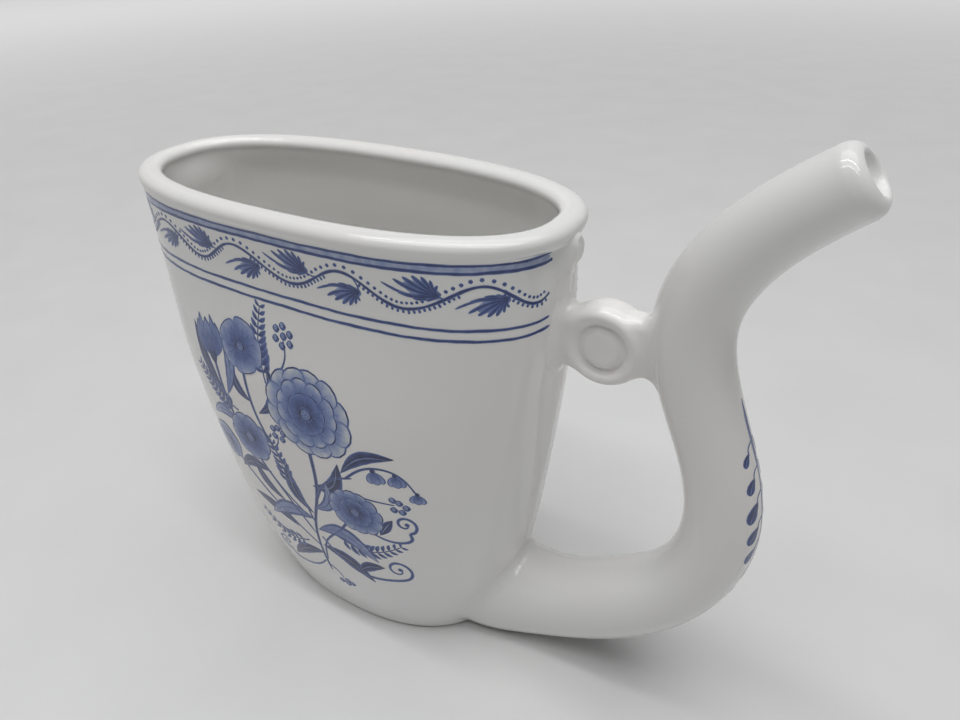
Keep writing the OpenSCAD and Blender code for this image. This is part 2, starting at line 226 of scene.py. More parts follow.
def on_wall(q, z):
    """Point and outward normal on the wall. q runs round: 0 front, 1 tube, -1 far end, -2 back."""
    q = (np.asarray(q, float) + 2) % 4 - 2
    z = np.asarray(z, float)
    side = np.sign(q + 1e-12)
    front = np.abs(q) <= 1
    f = np.where(front, np.abs(q), 2 - np.abs(q))
    df, dz = 0.004, 0.1
    here = quarter_skin(f, z, side)
    ahead = quarter_skin(np.minimum(f + df, 1), z, side)
    along = ahead - quarter_skin(np.maximum(f - df, 0), z, side)
    up = (quarter_skin(f, z + dz, side) - quarter_skin(f, z - dz, side)) / (2 * dz)
    tilt = along[..., 1] * up[..., 0] - along[..., 0] * up[..., 1]
    normal = unit(np.stack([-along[..., 1], along[..., 0], tilt], -1))
    flip = np.stack([side, np.where(front, -1.0, 1.0), np.ones_like(side)], -1)
    return np.concatenate([here, z[..., None]], -1) * flip, normal * flip


# ---- meshes ----

def signed_volume(points, faces):
    total = 0.0
    for size in sorted({len(face) for face in faces}):
        group = points[np.array([face for face in faces if len(face) == size])]
        for k in range(1, size - 1):
            total += np.sum(group[:, 0] * np.cross(group[:, k], group[:, k + 1]))
    return total / 6


def linked(name, data):
    thing = bpy.data.objects.new(name, data)
    scene.collection.objects.link(thing)
    return thing


def mesh_object(name, points, faces):
    """A mesh from points in millimetres."""
    mesh = bpy.data.meshes.new(name)
    mesh.from_pydata((np.asarray(points, float) * MM).tolist(), [], faces)
    return linked(name, mesh)


def add_piece(name, points, faces, material):
    """A closed smooth piece with its faces turned outward and on the one body."""
    if signed_volume(points, faces) < 0:
        faces = [face[::-1] for face in faces]
    piece = mesh_object(name, points, faces)
    mesh = piece.data
    mesh.polygons.foreach_set("use_smooth", [True] * len(mesh.polygons))
    mesh.update()
    mesh.materials.append(material)
    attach(piece, "root")
    return piece


def ring_faces(rings, sides, first=0):
    """Quads between rings of points, each with the same number of sides."""
    r = np.arange(rings - 1)[:, None] * sides + first
    k = np.arange(sides)[None, :]
    m = (k + 1) % sides
    quads = np.stack([r + k, r + m, r + sides + m, r + sides + k], axis=-1)
    return quads.reshape(-1, 4).tolist()


QUARTER = 72
SIDES = 4 * QUARTER


def oval_ring(a, b, n, z):
    x, y, _ = quarter_oval(a, b, n, QUARTER)
    right = np.stack([x, -y], 1)[:-1]
    back = np.stack([x[::-1], y[::-1]], 1)[:-1]
    half = np.concatenate([right, back])
    ring = np.concatenate([half, -half])
    return np.column_stack([ring, np.full(SIDES, z)])


def wall_oval(z, inset=0.0):
    half = wall_half(np.clip(z, 0, THROAT_Z)) - inset
    return [half[0], half[1], float(wall_square(z)), z]


def cup_rings():
    """Half length, half width, roundness and height of each ring, with a mark near the lip."""
    rings = []
    inner = FOOT_RING_W + FOOT_EDGE
    for share in (0.15, 0.4, 0.65, 0.85):
        low = wall_oval(FOOT_HOLLOW, inner + 1.2)
        rings.append([low[0] * share, low[1] * share, low[2], FOOT_HOLLOW])
    for z, inset in (
        (1.0, 1.2), (0.97, 0.85), (0.82, 0.58), (0.5, 0.42), (0.2, 0.3), (0.05, 0.15), (0, 0),
    ):
        rings.append(wall_oval(z, inner + inset))
    rings.append(wall_oval(0, FOOT_EDGE + 1))
    for angle in range(0, 91, 15):
        turn = math.radians(angle)
        z = FOOT_EDGE * (1 - math.cos(turn))
        rings.append(wall_oval(z, FOOT_EDGE * (1 - math.sin(turn))))
    heights = np.concatenate([
        np.linspace(FOOT_EDGE, 12, 9)[1:], np.linspace(12, 84, 49)[1:],
        np.linspace(84, LIP_START, 25)[1:],
    ])
    rings += [wall_oval(z) + ["wall"] * int(z > JOINT_Z) for z in heights]
    lip_a, lip_b = (LIP_L - LIP_ROLL_W) / 2, (LIP_W - LIP_ROLL_W) / 2
    for angle in np.linspace(-65, 202.5, 53):
        turn = math.radians(angle)
        grow = LIP_ROLL_W / 2 * math.cos(turn)
        drop = LIP_HANG if angle < 0 else LIP_ROLL_H / 2
        ring = [lip_a + grow, lip_b + grow, LIP_SQUARE, LIP_MID_Z + drop * math.sin(turn)]
        rings.append(ring + ["lip"] * int(angle < 0))
    lip_in = rings[-1]
    wall_in = wall_oval(THROAT_Z - LIP_ROLL_H - 2, WALL_T)
    for t in np.linspace(0, 1, 10)[1:]:
        z = lip_in[3] + (wall_in[3] - lip_in[3]) * t
        blend = smooth_step(t)
        goal = wall_oval(min(z, THROAT_Z), WALL_T)
        rings.append([lip_in[i] + (goal[i] - lip_in[i]) * blend for i in range(3)] + [z])
    low = FLOOR_T + FLOOR_R
    rings += [wall_oval(z, WALL_T) for z in np.linspace(wall_in[3], low, 44)[1:]]
    for angle in np.linspace(0, 90, 13)[1:]:
        turn = math.radians(angle)
        inset = WALL_T + FLOOR_R * (1 - math.cos(turn))
        rings.append(wall_oval(low - FLOOR_R * math.sin(turn), inset))
    floor = rings[-1]
    for share in (0.92, 0.8, 0.62, 0.42, 0.2, 0.08):
        rings.append([floor[0] * share, floor[1] * share, floor[2], FLOOR_T])
    return rings


RING_F = np.concatenate([np.arange(QUARTER), np.arange(QUARTER, 0, -1)] * 2) / QUARTER
RING_SIGNS = np.repeat([[1, -1], [1, 1], [-1, 1], [-1, -1]], QUARTER, axis=0)

SAG_F, SAG_SPAN, SAG_Z = 0.86, 0.1, 90
LIP_SAG, WALL_SAG = 0.5, 0.75
JOINT_GAP, JOINT_FILL = 0.3, 0.075


def soften_joint(ring, on_lip):
    """Draws the outside of a ring of points near the lip out to it. Beside the tube it sags."""
    near = smooth_step((RING_F - SAG_F) / SAG_SPAN) * (RING_SIGNS[:, 0] > 0)
    z = ring[:, 2]
    if on_lip:
        z = z - (LIP_MID_Z - z) * LIP_SAG * near
    else:
        z = z - WALL_SAG * near * smooth_step((z - SAG_Z) / (LIP_START - SAG_Z))
    wall = quarter_wall(RING_F, z) * RING_SIGNS
    span = quarter_lip(RING_F) * RING_SIGNS - wall
    goal = melt(RING_F, z, RING_SIGNS[:, 0])
    if on_lip:
        share = np.sum((ring[:, :2] - wall) * span, axis=1) / (np.sum(span * span, axis=1) + 1e-9)
        gap = np.maximum(JOINT_GAP - np.abs(share - goal), 0) / JOINT_GAP
        fill = gap * gap * JOINT_FILL
        goal = np.minimum(np.maximum(share, goal) + fill, np.maximum(1, share))
    ring = ring.copy()
    ring[:, :2] = wall + span * goal[:, None]
    ring[:, 2] = z
    return ring


def make_cup(material):
    rings = cup_rings()
    loops = []
    for ring in rings:
        loop = oval_ring(*ring[:4])
        loops.append(soften_joint(loop, ring[4] == "lip") if len(ring) > 4 else loop)
    points = np.concatenate(loops)
    faces = ring_faces(len(rings), SIDES)
    last = len(points)
    points = np.concatenate([points, [[0, 0, FOOT_HOLLOW], [0, 0, FLOOR_T]]])
    top = (len(rings) - 1) * SIDES
    for k in range(SIDES):
        m = (k + 1) % SIDES
        faces.append([last, m, k])
        faces.append([last + 1, top + k, top + m])
    cup = add_piece("cup_shell", points, faces, material)
    drill_passage(cup)
    return cup


def drill_passage(cup):
    """The way from the cup's floor into the tube."""
    low_x = ROOT_X - WALL_T - FLOOR_R * 0.8
    high_x = float(wall_half(12.0)[0]) + WALL_T
    sides = 48
    x = [low_x - 3, high_x]
    turn = np.arange(sides) * 2 * math.pi / sides
    ring = np.column_stack([np.zeros(sides), BORE_R * np.cos(turn), ROOT_H + BORE_R * np.sin(turn)])
    points = np.concatenate([ring + [place, 0, 0] for place in x])
    faces = ring_faces(2, sides) + [list(range(sides))[::-1], [sides + k for k in range(sides)]]
    drill = mesh_object("drill", points, faces)
    cut = cup.modifiers.new("passage", "BOOLEAN")
    cut.object = drill
    cut.operation = "DIFFERENCE"
    cut.solver = "EXACT"
    graph = bpy.context.evaluated_depsgraph_get()
    result = bpy.data.meshes.new_from_object(cup.evaluated_get(graph))
    cup.modifiers.clear()
    cup.data = result
    result.set_sharp_from_angle(angle=math.radians(35))
    bpy.data.objects.remove(drill)


# ---- the drinking tube ----

LIP_X = LIP_L / 2
ROOT_X = WALL_L[0] / 2
TUBE_LINE = np.array([
    [ROOT_X - ROOT_R * 0.41, ROOT_H],
    [ROOT_X + ROOT_R * 0.15, ROOT_H],
    [ROOT_X + ROOT_R * 1.05, ROOT_H + ROOT_R * 0.14],
    [LIP_X + LOOP_REACH * 0.543, CUP_H * 0.224],
    [LIP_X + LOOP_REACH * 0.835, CUP_H * 0.321],
    [LIP_X + LOOP_REACH, CUP_H * 0.495],
    [LIP_X + LOOP_REACH * 0.887, CUP_H * 0.653],
    [LIP_X + LOOP_REACH * 0.691, CUP_H * 0.896],
    [LIP_X + MOUTH_REACH * 0.683, CUP_H + MOUTH_RISE * 0.14],
    [LIP_X + MOUTH_REACH, CUP_H + MOUTH_RISE],
])
TUBE_RADII = [
    ROOT_R + ROOT_FLARE, ROOT_R + ROOT_FLARE * 0.77, ROOT_R, BEND_R, BEND_R * 0.875,
    GRIP_R, GRIP_R * 0.95, GRIP_R * 0.97, MOUTH_R * 1.13, MOUTH_R,
]
TUBE_S = run_along(TUBE_LINE)
TUBE_L = TUBE_S[-1]
line_at = natural_spline(TUBE_S, TUBE_LINE)
radius_at = natural_spline(TUBE_S, TUBE_RADII)


def tube_point(s, r, angle):
    """Points round the tube's middle line at lengths s, radii r and angles."""
    near = TUBE_L / 1000
    ahead = unit(line_at(np.minimum(s + near, TUBE_L)) - line_at(np.maximum(s - near, 0)))
    mid = line_at(s)
    off = r * np.cos(angle)
    z = mid[..., 1] + off * ahead[..., 0] - TABLE_GAP
    z = TABLE_GAP + (z + np.sqrt(z * z + 0.6)) / 2
    return np.stack([mid[..., 0] - off * ahead[..., 1], -r * np.sin(angle), z], axis=-1)


def first_outside(radius, angles):
    """Length along the tube at which each generator comes out of the cup's wall."""
    s = np.linspace(0, 34, 1201)
    grid_s, grid_a = np.meshgrid(s, angles, indexing="ij")
    ratio = wall_ratio(tube_point(grid_s, radius(grid_s), grid_a)) - 1
    out = []
    for k in range(len(angles)):
        column = ratio[:, k]
        i = int(np.argmax(column > 0))
        out.append(s[i - 1] + (s[i] - s[i - 1]) * column[i - 1] / (column[i - 1] - column[i]))
    return np.array(out)


TUBE_FILLET = 3.2


def make_tube(material):
    sides = 112
    angles = np.arange(sides) * 2 * math.pi / sides
    hit_s = first_outside(radius_at, angles)
    hit = tube_point(hit_s, radius_at(hit_s), angles)
    normal = unit(slope_of(wall_ratio, hit))
    mid = line_at(hit_s)
    spoke = hit - np.column_stack([mid[:, 0], np.zeros(sides), mid[:, 1]])
    spoke = unit(spoke - normal * np.sum(spoke * normal, axis=1, keepdims=True))
    reach = TUBE_FILLET * np.clip((hit[:, 2] - 0.6) / 6, 0.1, 1)
    landing = hit + spoke * reach[:, None]
    landing[:, 2] = np.maximum(landing[:, 2], TABLE_GAP)
    for _ in range(2):
        landing -= normal * wall_distance(landing)[:, None]
    start_s = hit_s + reach
    start = tube_point(start_s, radius_at(start_s), angles)

    rings = []
    end_s = TUBE_L - MOUTH_EDGE
    for t in np.linspace(1, 0, 230):
        s = start_s + (end_s - start_s) * t
        rings.append(tube_point(s, radius_at(s), angles))
    for t in np.linspace(0, 1, 15)[1:]:
        rings.append((1 - t) ** 2 * start + 2 * t * (1 - t) * hit + t * t * landing)
    rings.append(landing - normal * 0.15)
    rings.append(landing - normal * 0.6)

    def bore_radius(s):
        u = s / (TUBE_L - MOUTH_DISH - BORE_R)
        top = HOLE_R + MOUTH_R * 0.24
        return BORE_R + (top - BORE_R) * smooth_step((u - 0.35) / 0.6)

    bore_start = first_outside(bore_radius, angles) - 0.4
    throat_s = TUBE_L - MOUTH_DISH - 1.6
    for t in np.linspace(0, 1, 90):
        s = bore_start + (throat_s - bore_start) * t
        r = bore_radius(s)
        closing = smooth_step((s - (throat_s - 7)) / 7)
        rings.append(tube_point(s, r + (HOLE_R - r) * closing, angles))
    dish_from = MOUTH_R - MOUTH_EDGE
    for r in (HOLE_R, HOLE_R + 0.05, HOLE_R + 0.18, HOLE_R + 0.4, 2.4, 2.65, 2.85, 3.0):
        bowl = MOUTH_DISH * (1 - ((r - HOLE_R) / (dish_from - HOLE_R)) ** 2)
        lip = 0.35 * math.exp(-(r - HOLE_R) / 0.12)
        rings.append(tube_point(np.full(sides, TUBE_L - bowl - lip), np.full(sides, r), angles))
    for angle in np.linspace(90, 0, 13)[1:-1]:
        turn = math.radians(angle)
        s = np.full(sides, end_s + MOUTH_EDGE * math.sin(turn))
        r = np.full(sides, MOUTH_R - MOUTH_EDGE * (1 - math.cos(turn)))
        rings.append(tube_point(s, r, angles))
    points = np.concatenate(rings)
    faces = ring_faces(len(rings), sides)
    last = (len(rings) - 1) * sides
    for k in range(sides):
        m = (k + 1) % sides
        faces.append([last + k, last + m, m, k])
    return add_piece("spout_tube", points, faces, material)


# ---- relief leaf with its shield ----

LEAF_TOP = LIP_MID_Z
LEAF_ROOT = 1.5
LEAF_MIDDLE = (LEAF_TIP + DISC_Z) * 0.475
SHIELD_LOW = THROAT_Z - SHIELD_H
LEAF_STATIONS = np.array([
    [LEAF_TIP, LEAF_W * 0.03, LEAF_PROUD * 0.1],
    [LEAF_TIP + (LEAF_MIDDLE - LEAF_TIP) * 0.36, LEAF_W * 0.14, LEAF_PROUD * 0.7],
    [LEAF_MIDDLE, LEAF_W * 0.28, LEAF_PROUD],
    [DISC_Z - DISC_R * 1.25, LEAF_W / 2, LEAF_PROUD],
    [DISC_Z, LEAF_W * 0.43, LEAF_PROUD],
    [DISC_Z + DISC_R * 0.7, STEM_W * 0.62, LEAF_PROUD],
    [SHIELD_LOW, STEM_W / 2, LEAF_PROUD],
    [SHIELD_LOW + SHIELD_H * 0.19, SHIELD_W * 0.31, SHIELD_PROUD * 0.55],
    [SHIELD_LOW + SHIELD_H * 0.38, SHIELD_W * 0.43, SHIELD_PROUD * 0.85],
    [SHIELD_LOW + SHIELD_H * 0.6, SHIELD_W * 0.49, SHIELD_PROUD],
    [SHIELD_LOW + SHIELD_H * 0.8, SHIELD_W / 2, SHIELD_PROUD],
    [THROAT_Z, SHIELD_W / 2, SHIELD_PROUD * 0.9],
    [LEAF_TOP, SHIELD_W / 2, LEAF_PROUD * 0.1],
])


def leaf_form(z):
    """Half width of the leaf and its height over the wall at heights z, rounded at its stations."""
    total = np.zeros(np.shape(z) + (2,))
    for move in (-0.9, -0.45, 0.45, 0.9):
        for column in (0, 1):
            at = np.interp(z + move, LEAF_STATIONS[:, 0], LEAF_STATIONS[:, column + 1])
            total[..., column] += at / 4
    return total


LEAF_SPREAD, LEAF_SINK = 1.14, 0.22
FOLD_W, FOLD_RIM_W, FOLD_DEPTH, FOLD_RIM = 0.85, 2.2, 0.4, 0.16
FOLD_LOW, FOLD_HIGH, FOLD_IN, FOLD_OUT = 91.2, 97.6, 1.6, 1.2
STEM_Z, STEM_SPAN, STEM_RISE = 89.5, 2.4, 0.3
CREST_SHARE = 0.94
CREST_Z = [82, 85, 86.5, 88, 89.5, 90.5, 91.5, 92.5, 93.5, 94.5, 95.5, 96.5, 97.3, 98.3]
CREST_H = [1.1, 1.12, 1.16, 1.25, 1.38, 1.55, 2.1, 3.0, 3.75, 4.15, 4.38, 4.4, 3.7, 2.2]


def leaf_height(y, z):
    """Height of the leaf over the wall, below nought beside it. The shield has a soft fold."""
    form = leaf_form(z)
    u = np.minimum(np.abs(y) / (form[..., 0] * LEAF_SPREAD), 1.6)
    bell = np.clip(1 - u**2.2, 0, 1) ** 1.5
    fold = np.exp(-(y / FOLD_W) ** 2)
    fold = fold * smooth_step((z - FOLD_LOW) / FOLD_IN) * smooth_step((FOLD_HIGH - z) / FOLD_OUT)
    low = form[..., 1] + STEM_RISE * np.exp(-((z - STEM_Z) / STEM_SPAN) ** 2)
    crest = np.interp(z, CREST_Z, CREST_H)
    high = crest * CREST_SHARE + form[..., 1] * (1 - CREST_SHARE)
    tall = np.where(z > CREST_Z[0], high, low)
    folded = 1 + FOLD_RIM * fold * np.exp(-(y / FOLD_RIM_W) ** 2) - FOLD_DEPTH * fold
    return tall * bell * folded - LEAF_SINK * u**4


def make_leaf(material):
    across, rows = 36, 190
    z = np.linspace(LEAF_TIP, LEAF_TOP, rows)
    u = np.linspace(-1, 1, across + 1)
    grid_z, grid_u = np.meshgrid(z, u, indexing="ij")
    y = grid_u * leaf_form(grid_z)[..., 0] * LEAF_SPREAD
    face = wall_x(grid_z, y) + leaf_height(y, grid_z)
    root = wall_x(grid_z, y) - LEAF_ROOT
    top = np.stack([face, y, grid_z], -1)
    under = np.stack([root, y, grid_z], -1)[:, ::-1]
    rings = np.concatenate([top, under], axis=1)
    sides = rings.shape[1]
    faces = ring_faces(rows, sides)
    faces.append(list(range(sides))[::-1])
    faces.append([(rows - 1) * sides + k for k in range(sides)])
    return add_piece("wall_leaf", rings.reshape(-1, 3), faces, material)


# ---- medallion, melted into the wall and the tube ----

def soft_min(a, b, k):
    h = np.maximum(k - np.abs(a - b), 0) / k
    return np.minimum(a, b) - h * h * k / 4


UPPER_S = np.linspace(TUBE_L * 0.3, TUBE_L * 0.95, 160)
UPPER_MID = line_at(UPPER_S)
UPPER_R = radius_at(UPPER_S)


def tube_distance(p):
    """Distance outside the upper tube."""
    flat = p.reshape(-1, 3)
    out = np.empty(len(flat))
    span = UPPER_MID[1:] - UPPER_MID[:-1]
    span_l = np.linalg.norm(span, axis=1)
    batch = 40000
    for low in range(0, len(flat), batch):
        q = flat[low:low + batch]
        away = q[:, None, [0, 2]] - UPPER_MID[None]
        near = np.clip(np.argmin(np.sum(away**2, axis=2), axis=1), 1, len(UPPER_MID) - 2)
        best = None
        for i in (near - 1, near):
            to = q[:, [0, 2]] - UPPER_MID[i]
            t = np.clip(np.sum(to * span[i], axis=1) / span_l[i] ** 2, 0, 1)
            gap = to - span[i] * t[:, None]
            r = UPPER_R[i] + (UPPER_R[i + 1] - UPPER_R[i]) * t
            d = np.sqrt(np.sum(gap * gap, axis=1) + q[:, 1] ** 2) - r
            best = d if best is None else np.minimum(best, d)
        out[low:low + batch] = best
    return out.reshape(p.shape[:-1])


def side_of_line(z):
    """x of the tube's middle line and its radius at a height in its upper half."""
    order = np.argsort(UPPER_MID[:, 1])
    return (
        np.interp(z, UPPER_MID[order, 1], UPPER_MID[order, 0]),
        np.interp(z, UPPER_MID[order, 1], UPPER_R[order]),
    )


TUBE_X, TUBE_R = side_of_line(DISC_Z)
LOW_X, HIGH_X = (side_of_line(DISC_Z + move)[0] for move in (-DISC_R / 2, DISC_R / 2))
LEAN = math.atan((LOW_X - HIGH_X) / DISC_R)
WALL_EDGE = float(wall_x(np.array(DISC_Z), np.array(0.0))) + LEAF_PROUD
TUBE_EDGE = TUBE_X - TUBE_R / math.cos(LEAN)
DISC_X = (WALL_EDGE + TUBE_EDGE) / 2 + DISC_SHIFT
RING_MID = (DISC_R + GROOVE_R) / 2


def medallion_distance(p):
    """The turned disc with its ring, groove and boss."""
    rho = np.hypot(p[..., 0] - DISC_X, p[..., 2] - DISC_Z)
    depth = np.abs(p[..., 1])

    def half_t(r):
        boss = smooth_step((GROOVE_R - r) / (GROOVE_R - BOSS_R + BOSS_EDGE))
        ring = np.sin(math.pi / 2 * np.clip((r - GROOVE_R) / (RING_MID - GROOVE_R), 0, 1))
        return np.where(
            r <= GROOVE_R,
            GROOVE_T / 2 + (BOSS_T - GROOVE_T) / 2 * boss,
            GROOVE_T / 2 + (DISC_T - GROOVE_T) / 2 * ring,
        )

    h = half_t(rho)
    step = 0.02
    slope = (half_t(rho + step) - half_t(rho - step)) / (2 * step)
    inner = (depth - h) / np.sqrt(1 + slope**2)
    a, b = DISC_R - RING_MID, DISC_T / 2
    q = np.maximum(rho - RING_MID, 0) / a
    w = depth / b
    outer = (q * q + w * w - 1) / (2 * np.sqrt((q / a) ** 2 + (w / b) ** 2) + 1e-6)
    return np.where(rho > RING_MID, outer, inner)


def bar_distance(p, x_from, x_to, half_y, half_z, rise):
    """A rounded bar along X between two places, for the necks."""
    round_r = min(half_y, half_z) * 0.7
    x = np.abs(p[..., 0] - (x_from + x_to) / 2) - abs(x_to - x_from) / 2
    z = p[..., 2] - DISC_Z - rise
    q = np.stack([x, np.abs(p[..., 1]) - half_y + round_r, np.abs(z) - half_z + round_r], -1)
    return np.linalg.norm(np.maximum(q, 0), axis=-1) + np.minimum(q.max(-1), 0) - round_r


def base_distance(p):
    """The wall with its leaf, and the tube."""
    relief = np.maximum(leaf_height(p[..., 1], p[..., 2]), -0.25)
    return wall_distance(p) - np.where(p[..., 0] > 0, relief, 0), tube_distance(p)


# Half width, half height and rise of the necks to the wall and to the tube, and the soft blends
WALL_NECK, TUBE_NECK = (2.6, 5.3, -0.35), (2.3, 5.2, 1.1)
NECK_GAP, NECK_SINK = 1.2, 1
NECK_BLEND, WALL_BLEND, TUBE_BLEND = 1.6, 2.6, 2.4
SKIN_LIFT, BASE_SINK = 0.015, 0.5
SKIRT_EDGE, SKIRT_SLOPE = 0.03, 4


def melted_disc(p):
    """Field of the medallion: nought on its skin, with fillets drawn out over wall and tube."""
    wall, tube = base_distance(p)
    wall_neck = bar_distance(p, WALL_EDGE - NECK_SINK, DISC_X - GROOVE_R - NECK_GAP, *WALL_NECK)
    tube_neck = bar_distance(p, DISC_X + GROOVE_R + NECK_GAP, TUBE_EDGE + NECK_SINK, *TUBE_NECK)
    disc = soft_min(medallion_distance(p), wall_neck, NECK_BLEND)
    disc = soft_min(disc, tube_neck, NECK_BLEND)
    whole = soft_min(soft_min(disc, wall, WALL_BLEND), tube, TUBE_BLEND)
    base = np.minimum(wall, tube)
    skirt = (SKIRT_EDGE - (base - whole)) * SKIRT_SLOPE
    return np.maximum(np.maximum(whole + SKIN_LIFT, -(base + BASE_SINK)), skirt)


def surface_net(field, low, high, step):
    """Quads on the zero surface of a field inside a box, drawn onto the surface itself."""
    low = np.array(low, float)
    counts = np.ceil((np.array(high) - low) / step).astype(int) + 1
    axes = [low[i] + step * np.arange(counts[i]) for i in range(3)]
    grid = np.stack(np.meshgrid(*axes, indexing="ij"), -1)
    values = field(grid)
    cells = counts - 1
    total = np.zeros((cells.prod(), 3))
    hits = np.zeros(cells.prod())
    quads = []
    flat = np.array([cells[1] * cells[2], cells[2], 1])
    for axis in range(3):
        here = [slice(None)] * 3
        there = [slice(None)] * 3
        here[axis] = slice(0, -1)
        there[axis] = slice(1, None)
        a, b = values[tuple(here)], values[tuple(there)]
        at = np.argwhere((a < 0) != (b < 0))
        va, vb = a[tuple(at.T)], b[tuple(at.T)]
        spot = at.astype(float)
        spot[:, axis] += va / (va - vb)
        others = [i for i in range(3) if i != axis]
        around = []
        for dj, dk in ((1, 1), (0, 1), (0, 0), (1, 0)):
            cell = at.copy()
            cell[:, others[0]] -= dj
            cell[:, others[1]] -= dk
            index = cell @ flat
            np.add.at(total, index, spot)
            np.add.at(hits, index, 1)
            around.append(index)
        around = np.stack(around, 1)
        turn = (va < 0) == (axis != 1)
        around[~turn] = around[~turn][:, ::-1]
        quads.append(around)
    quads = np.concatenate(quads)
    used = np.where(hits > 0)[0]
    number = np.full(len(hits), -1)
    number[used] = np.arange(len(used))
    points = low + step * total[used] / hits[used, None]
    for _ in range(4):
        value = field(points)
        slope = slope_of(field, points, 0.01)
        move = value[:, None] * slope / (np.sum(slope * slope, axis=1, keepdims=True) + 1e-6)
        size = np.linalg.norm(move, axis=1, keepdims=True)
        points = points - move * np.minimum(1, 0.5 * step / (size + 1e-9))
    return points, number[quads].tolist()


def make_disc(material):
    half_y, half_z, step = 6.4, 11.5, 0.24
    low = (WALL_EDGE - 4, -half_y, DISC_Z - half_z)
    high = (TUBE_EDGE + 6, half_y, DISC_Z + half_z)
    points, faces = surface_net(melted_disc, low, high, step)
    return add_piece("bridge_medallion", points, faces, material)


# ---- cobalt prints: thin closed blades laid on the glaze ----

# Outlines of strokes as rows of (share of length, share of the half width)
LANCE = [(0, 0.03), (0.12, 0.4), (0.35, 0.9), (0.55, 1.0), (0.8, 0.62), (0.93, 0.25), (1, 0.02)]
DROP = [(0, 0.08), (0.3, 0.42), (0.6, 0.88), (0.78, 1.0), (0.92, 0.72), (1, 0.1)]
BUD = [(0, 0.2), (0.2, 0.6), (0.45, 0.92), (0.65, 1.0), (0.85, 0.85), (0.95, 0.5), (1, 0.12)]
HEART = [(0, 0.18), (0.3, 0.62), (0.6, 0.97), (0.78, 1.0), (0.92, 0.8), (1, 0.3)]
DOT = [(0, 0.15), (0.2, 0.8), (0.5, 1), (0.8, 0.8), (1, 0.15)]
ROUND = [(0, 0.1), (0.07, 0.45), (0.2, 0.8), (0.5, 1), (0.8, 0.8), (0.93, 0.45), (1, 0.1)]
BLADE_LIFT, LAYER_LIFT, BLADE_SINK = 0.035, 0.008, 0.06


def scaled(profile, half):
    return [(t, w * half) for t, w in profile]


class Print:
    """Blades drawn in a flat frame and laid on a surface: place gives a point and its normal."""

    def __init__(self, place):
        self.place = place
        self.points, self.normals, self.ink, self.faces = [], [], [], []
        self.count = 0

    def blade(
        self, line, width, ink, edge, layer, across=4, step=0.7, shift=(0, 0), turn=0.0, size=1.0,
    ):
        """A stroke along a smooth line, in a closed thin mesh.

        width is a half width, or rows of (share of length, half width). ink is one tone or the
        tones at both ends, and edge is added at the rims. Higher layers lie over lower ones.
        """
        line = np.asarray(line, float) * size
        if turn:
            c, s = math.cos(turn), math.sin(turn)
            line = line @ np.array([[c, s], [-s, c]])
        line = line + np.asarray(shift, float)
        run = run_along(line)
        if len(line) > 40:
            t = run / run[-1]
            mid = line
        else:
            steps = max(7, int(run[-1] / step) + 2)
            t = (1 - np.cos(np.linspace(0, math.pi, steps))) / 2
            t = 0.5 * t + 0.5 * np.linspace(0, 1, steps)
            if len(line) > 2:
                mid = natural_spline(run, line)(t * run[-1])
            else:
                mid = line[0] + (line[1] - line[0]) * t[:, None]
        ahead = np.gradient(mid, axis=0)
        ahead /= np.linalg.norm(ahead, axis=1, keepdims=True) + 1e-12
        side = np.stack([-ahead[:, 1], ahead[:, 0]], 1)
        if np.ndim(width) == 0:
            blunt = max(4, run[-1] / width)
            half = width * np.sqrt(np.clip(1 - np.abs(2 * t - 1) ** blunt, 0.02, 1))
        else:
            rows = np.asarray(width, float)
            half = np.interp(t, rows[:, 0], rows[:, 1]) * size
        u = np.concatenate([np.linspace(-1, 1, across + 1), [1, -1]])
        flat = mid[:, None] + side[:, None] * half[:, None, None] * u[None, :, None]
        ends = ink if np.ndim(ink) else (ink, ink)
        tone = ends[0] + (ends[1] - ends[0]) * t
        rim = np.abs(u[None, :]) ** 3
        tone = tone[:, None] * (1 - 0.3 * rim) + edge * rim
        point, normal = self.place(flat[..., 0], flat[..., 1])
        lift = np.full(flat.shape[:2], BLADE_LIFT + LAYER_LIFT * layer)
        lift[:, -2:] = -BLADE_SINK
        sides = across + 3
        self.points.append((point + normal * lift[..., None]).reshape(-1, 3))
        self.normals.append(normal.reshape(-1, 3))
        self.ink.append(tone.reshape(-1))
        first = self.count
        self.faces += ring_faces(len(t), sides, first)
        self.faces.append([first + k for k in range(sides)][::-1])
        last = first + (len(t) - 1) * sides
        self.faces.append([last + k for k in range(sides)])
        self.count += len(t) * sides

    def dot(self, at, radius, ink, layer):
        x, y = at
        ends = [(x - radius, y), (x + radius, y)]
        self.blade(ends, scaled(DOT, radius), ink, -0.1, layer, across=2, step=9)

    def make(self, name, material):
        """One piece of all the blades, shaded with the surface's normals and inked by point."""
        mesh = add_piece(name, np.concatenate(self.points), self.faces, material).data
        mesh.normals_split_custom_set_from_vertices(np.concatenate(self.normals).tolist())
        ink = mesh.attributes.new("ink", "FLOAT", "POINT")
        ink.data.foreach_set("value", np.clip(np.concatenate(self.ink), 0, 1))


def wobble(s, seed, size=1.0):
    """A smooth unevenness between -1 and 1, as of a hand."""
    waves = ((0.5, 0.37, 1.7), (0.3, 0.93, 2.9), (0.2, 2.1, 4.1))
    return size * sum(tall * np.sin(often * s + late * seed) for tall, often, late in waves)


# Length of a quarter of the way round the wall at the height of the band
BAND_RUN = 57.2
# The crests and hollows of the vine in turn. Round the back they follow evenly.
VINE_NODES = np.array([
    *(-62.3 - 11.0 * np.arange(10, 0, -1)),
    -62.3, -51.5, -40.3, -29.5, -18.3, -8.0, 5.0, 16.5, 27.9, 40.9, 50.2, 61.0,
])
vine_phase = natural_spline(VINE_NODES, math.pi * (np.arange(len(VINE_NODES)) - 9))


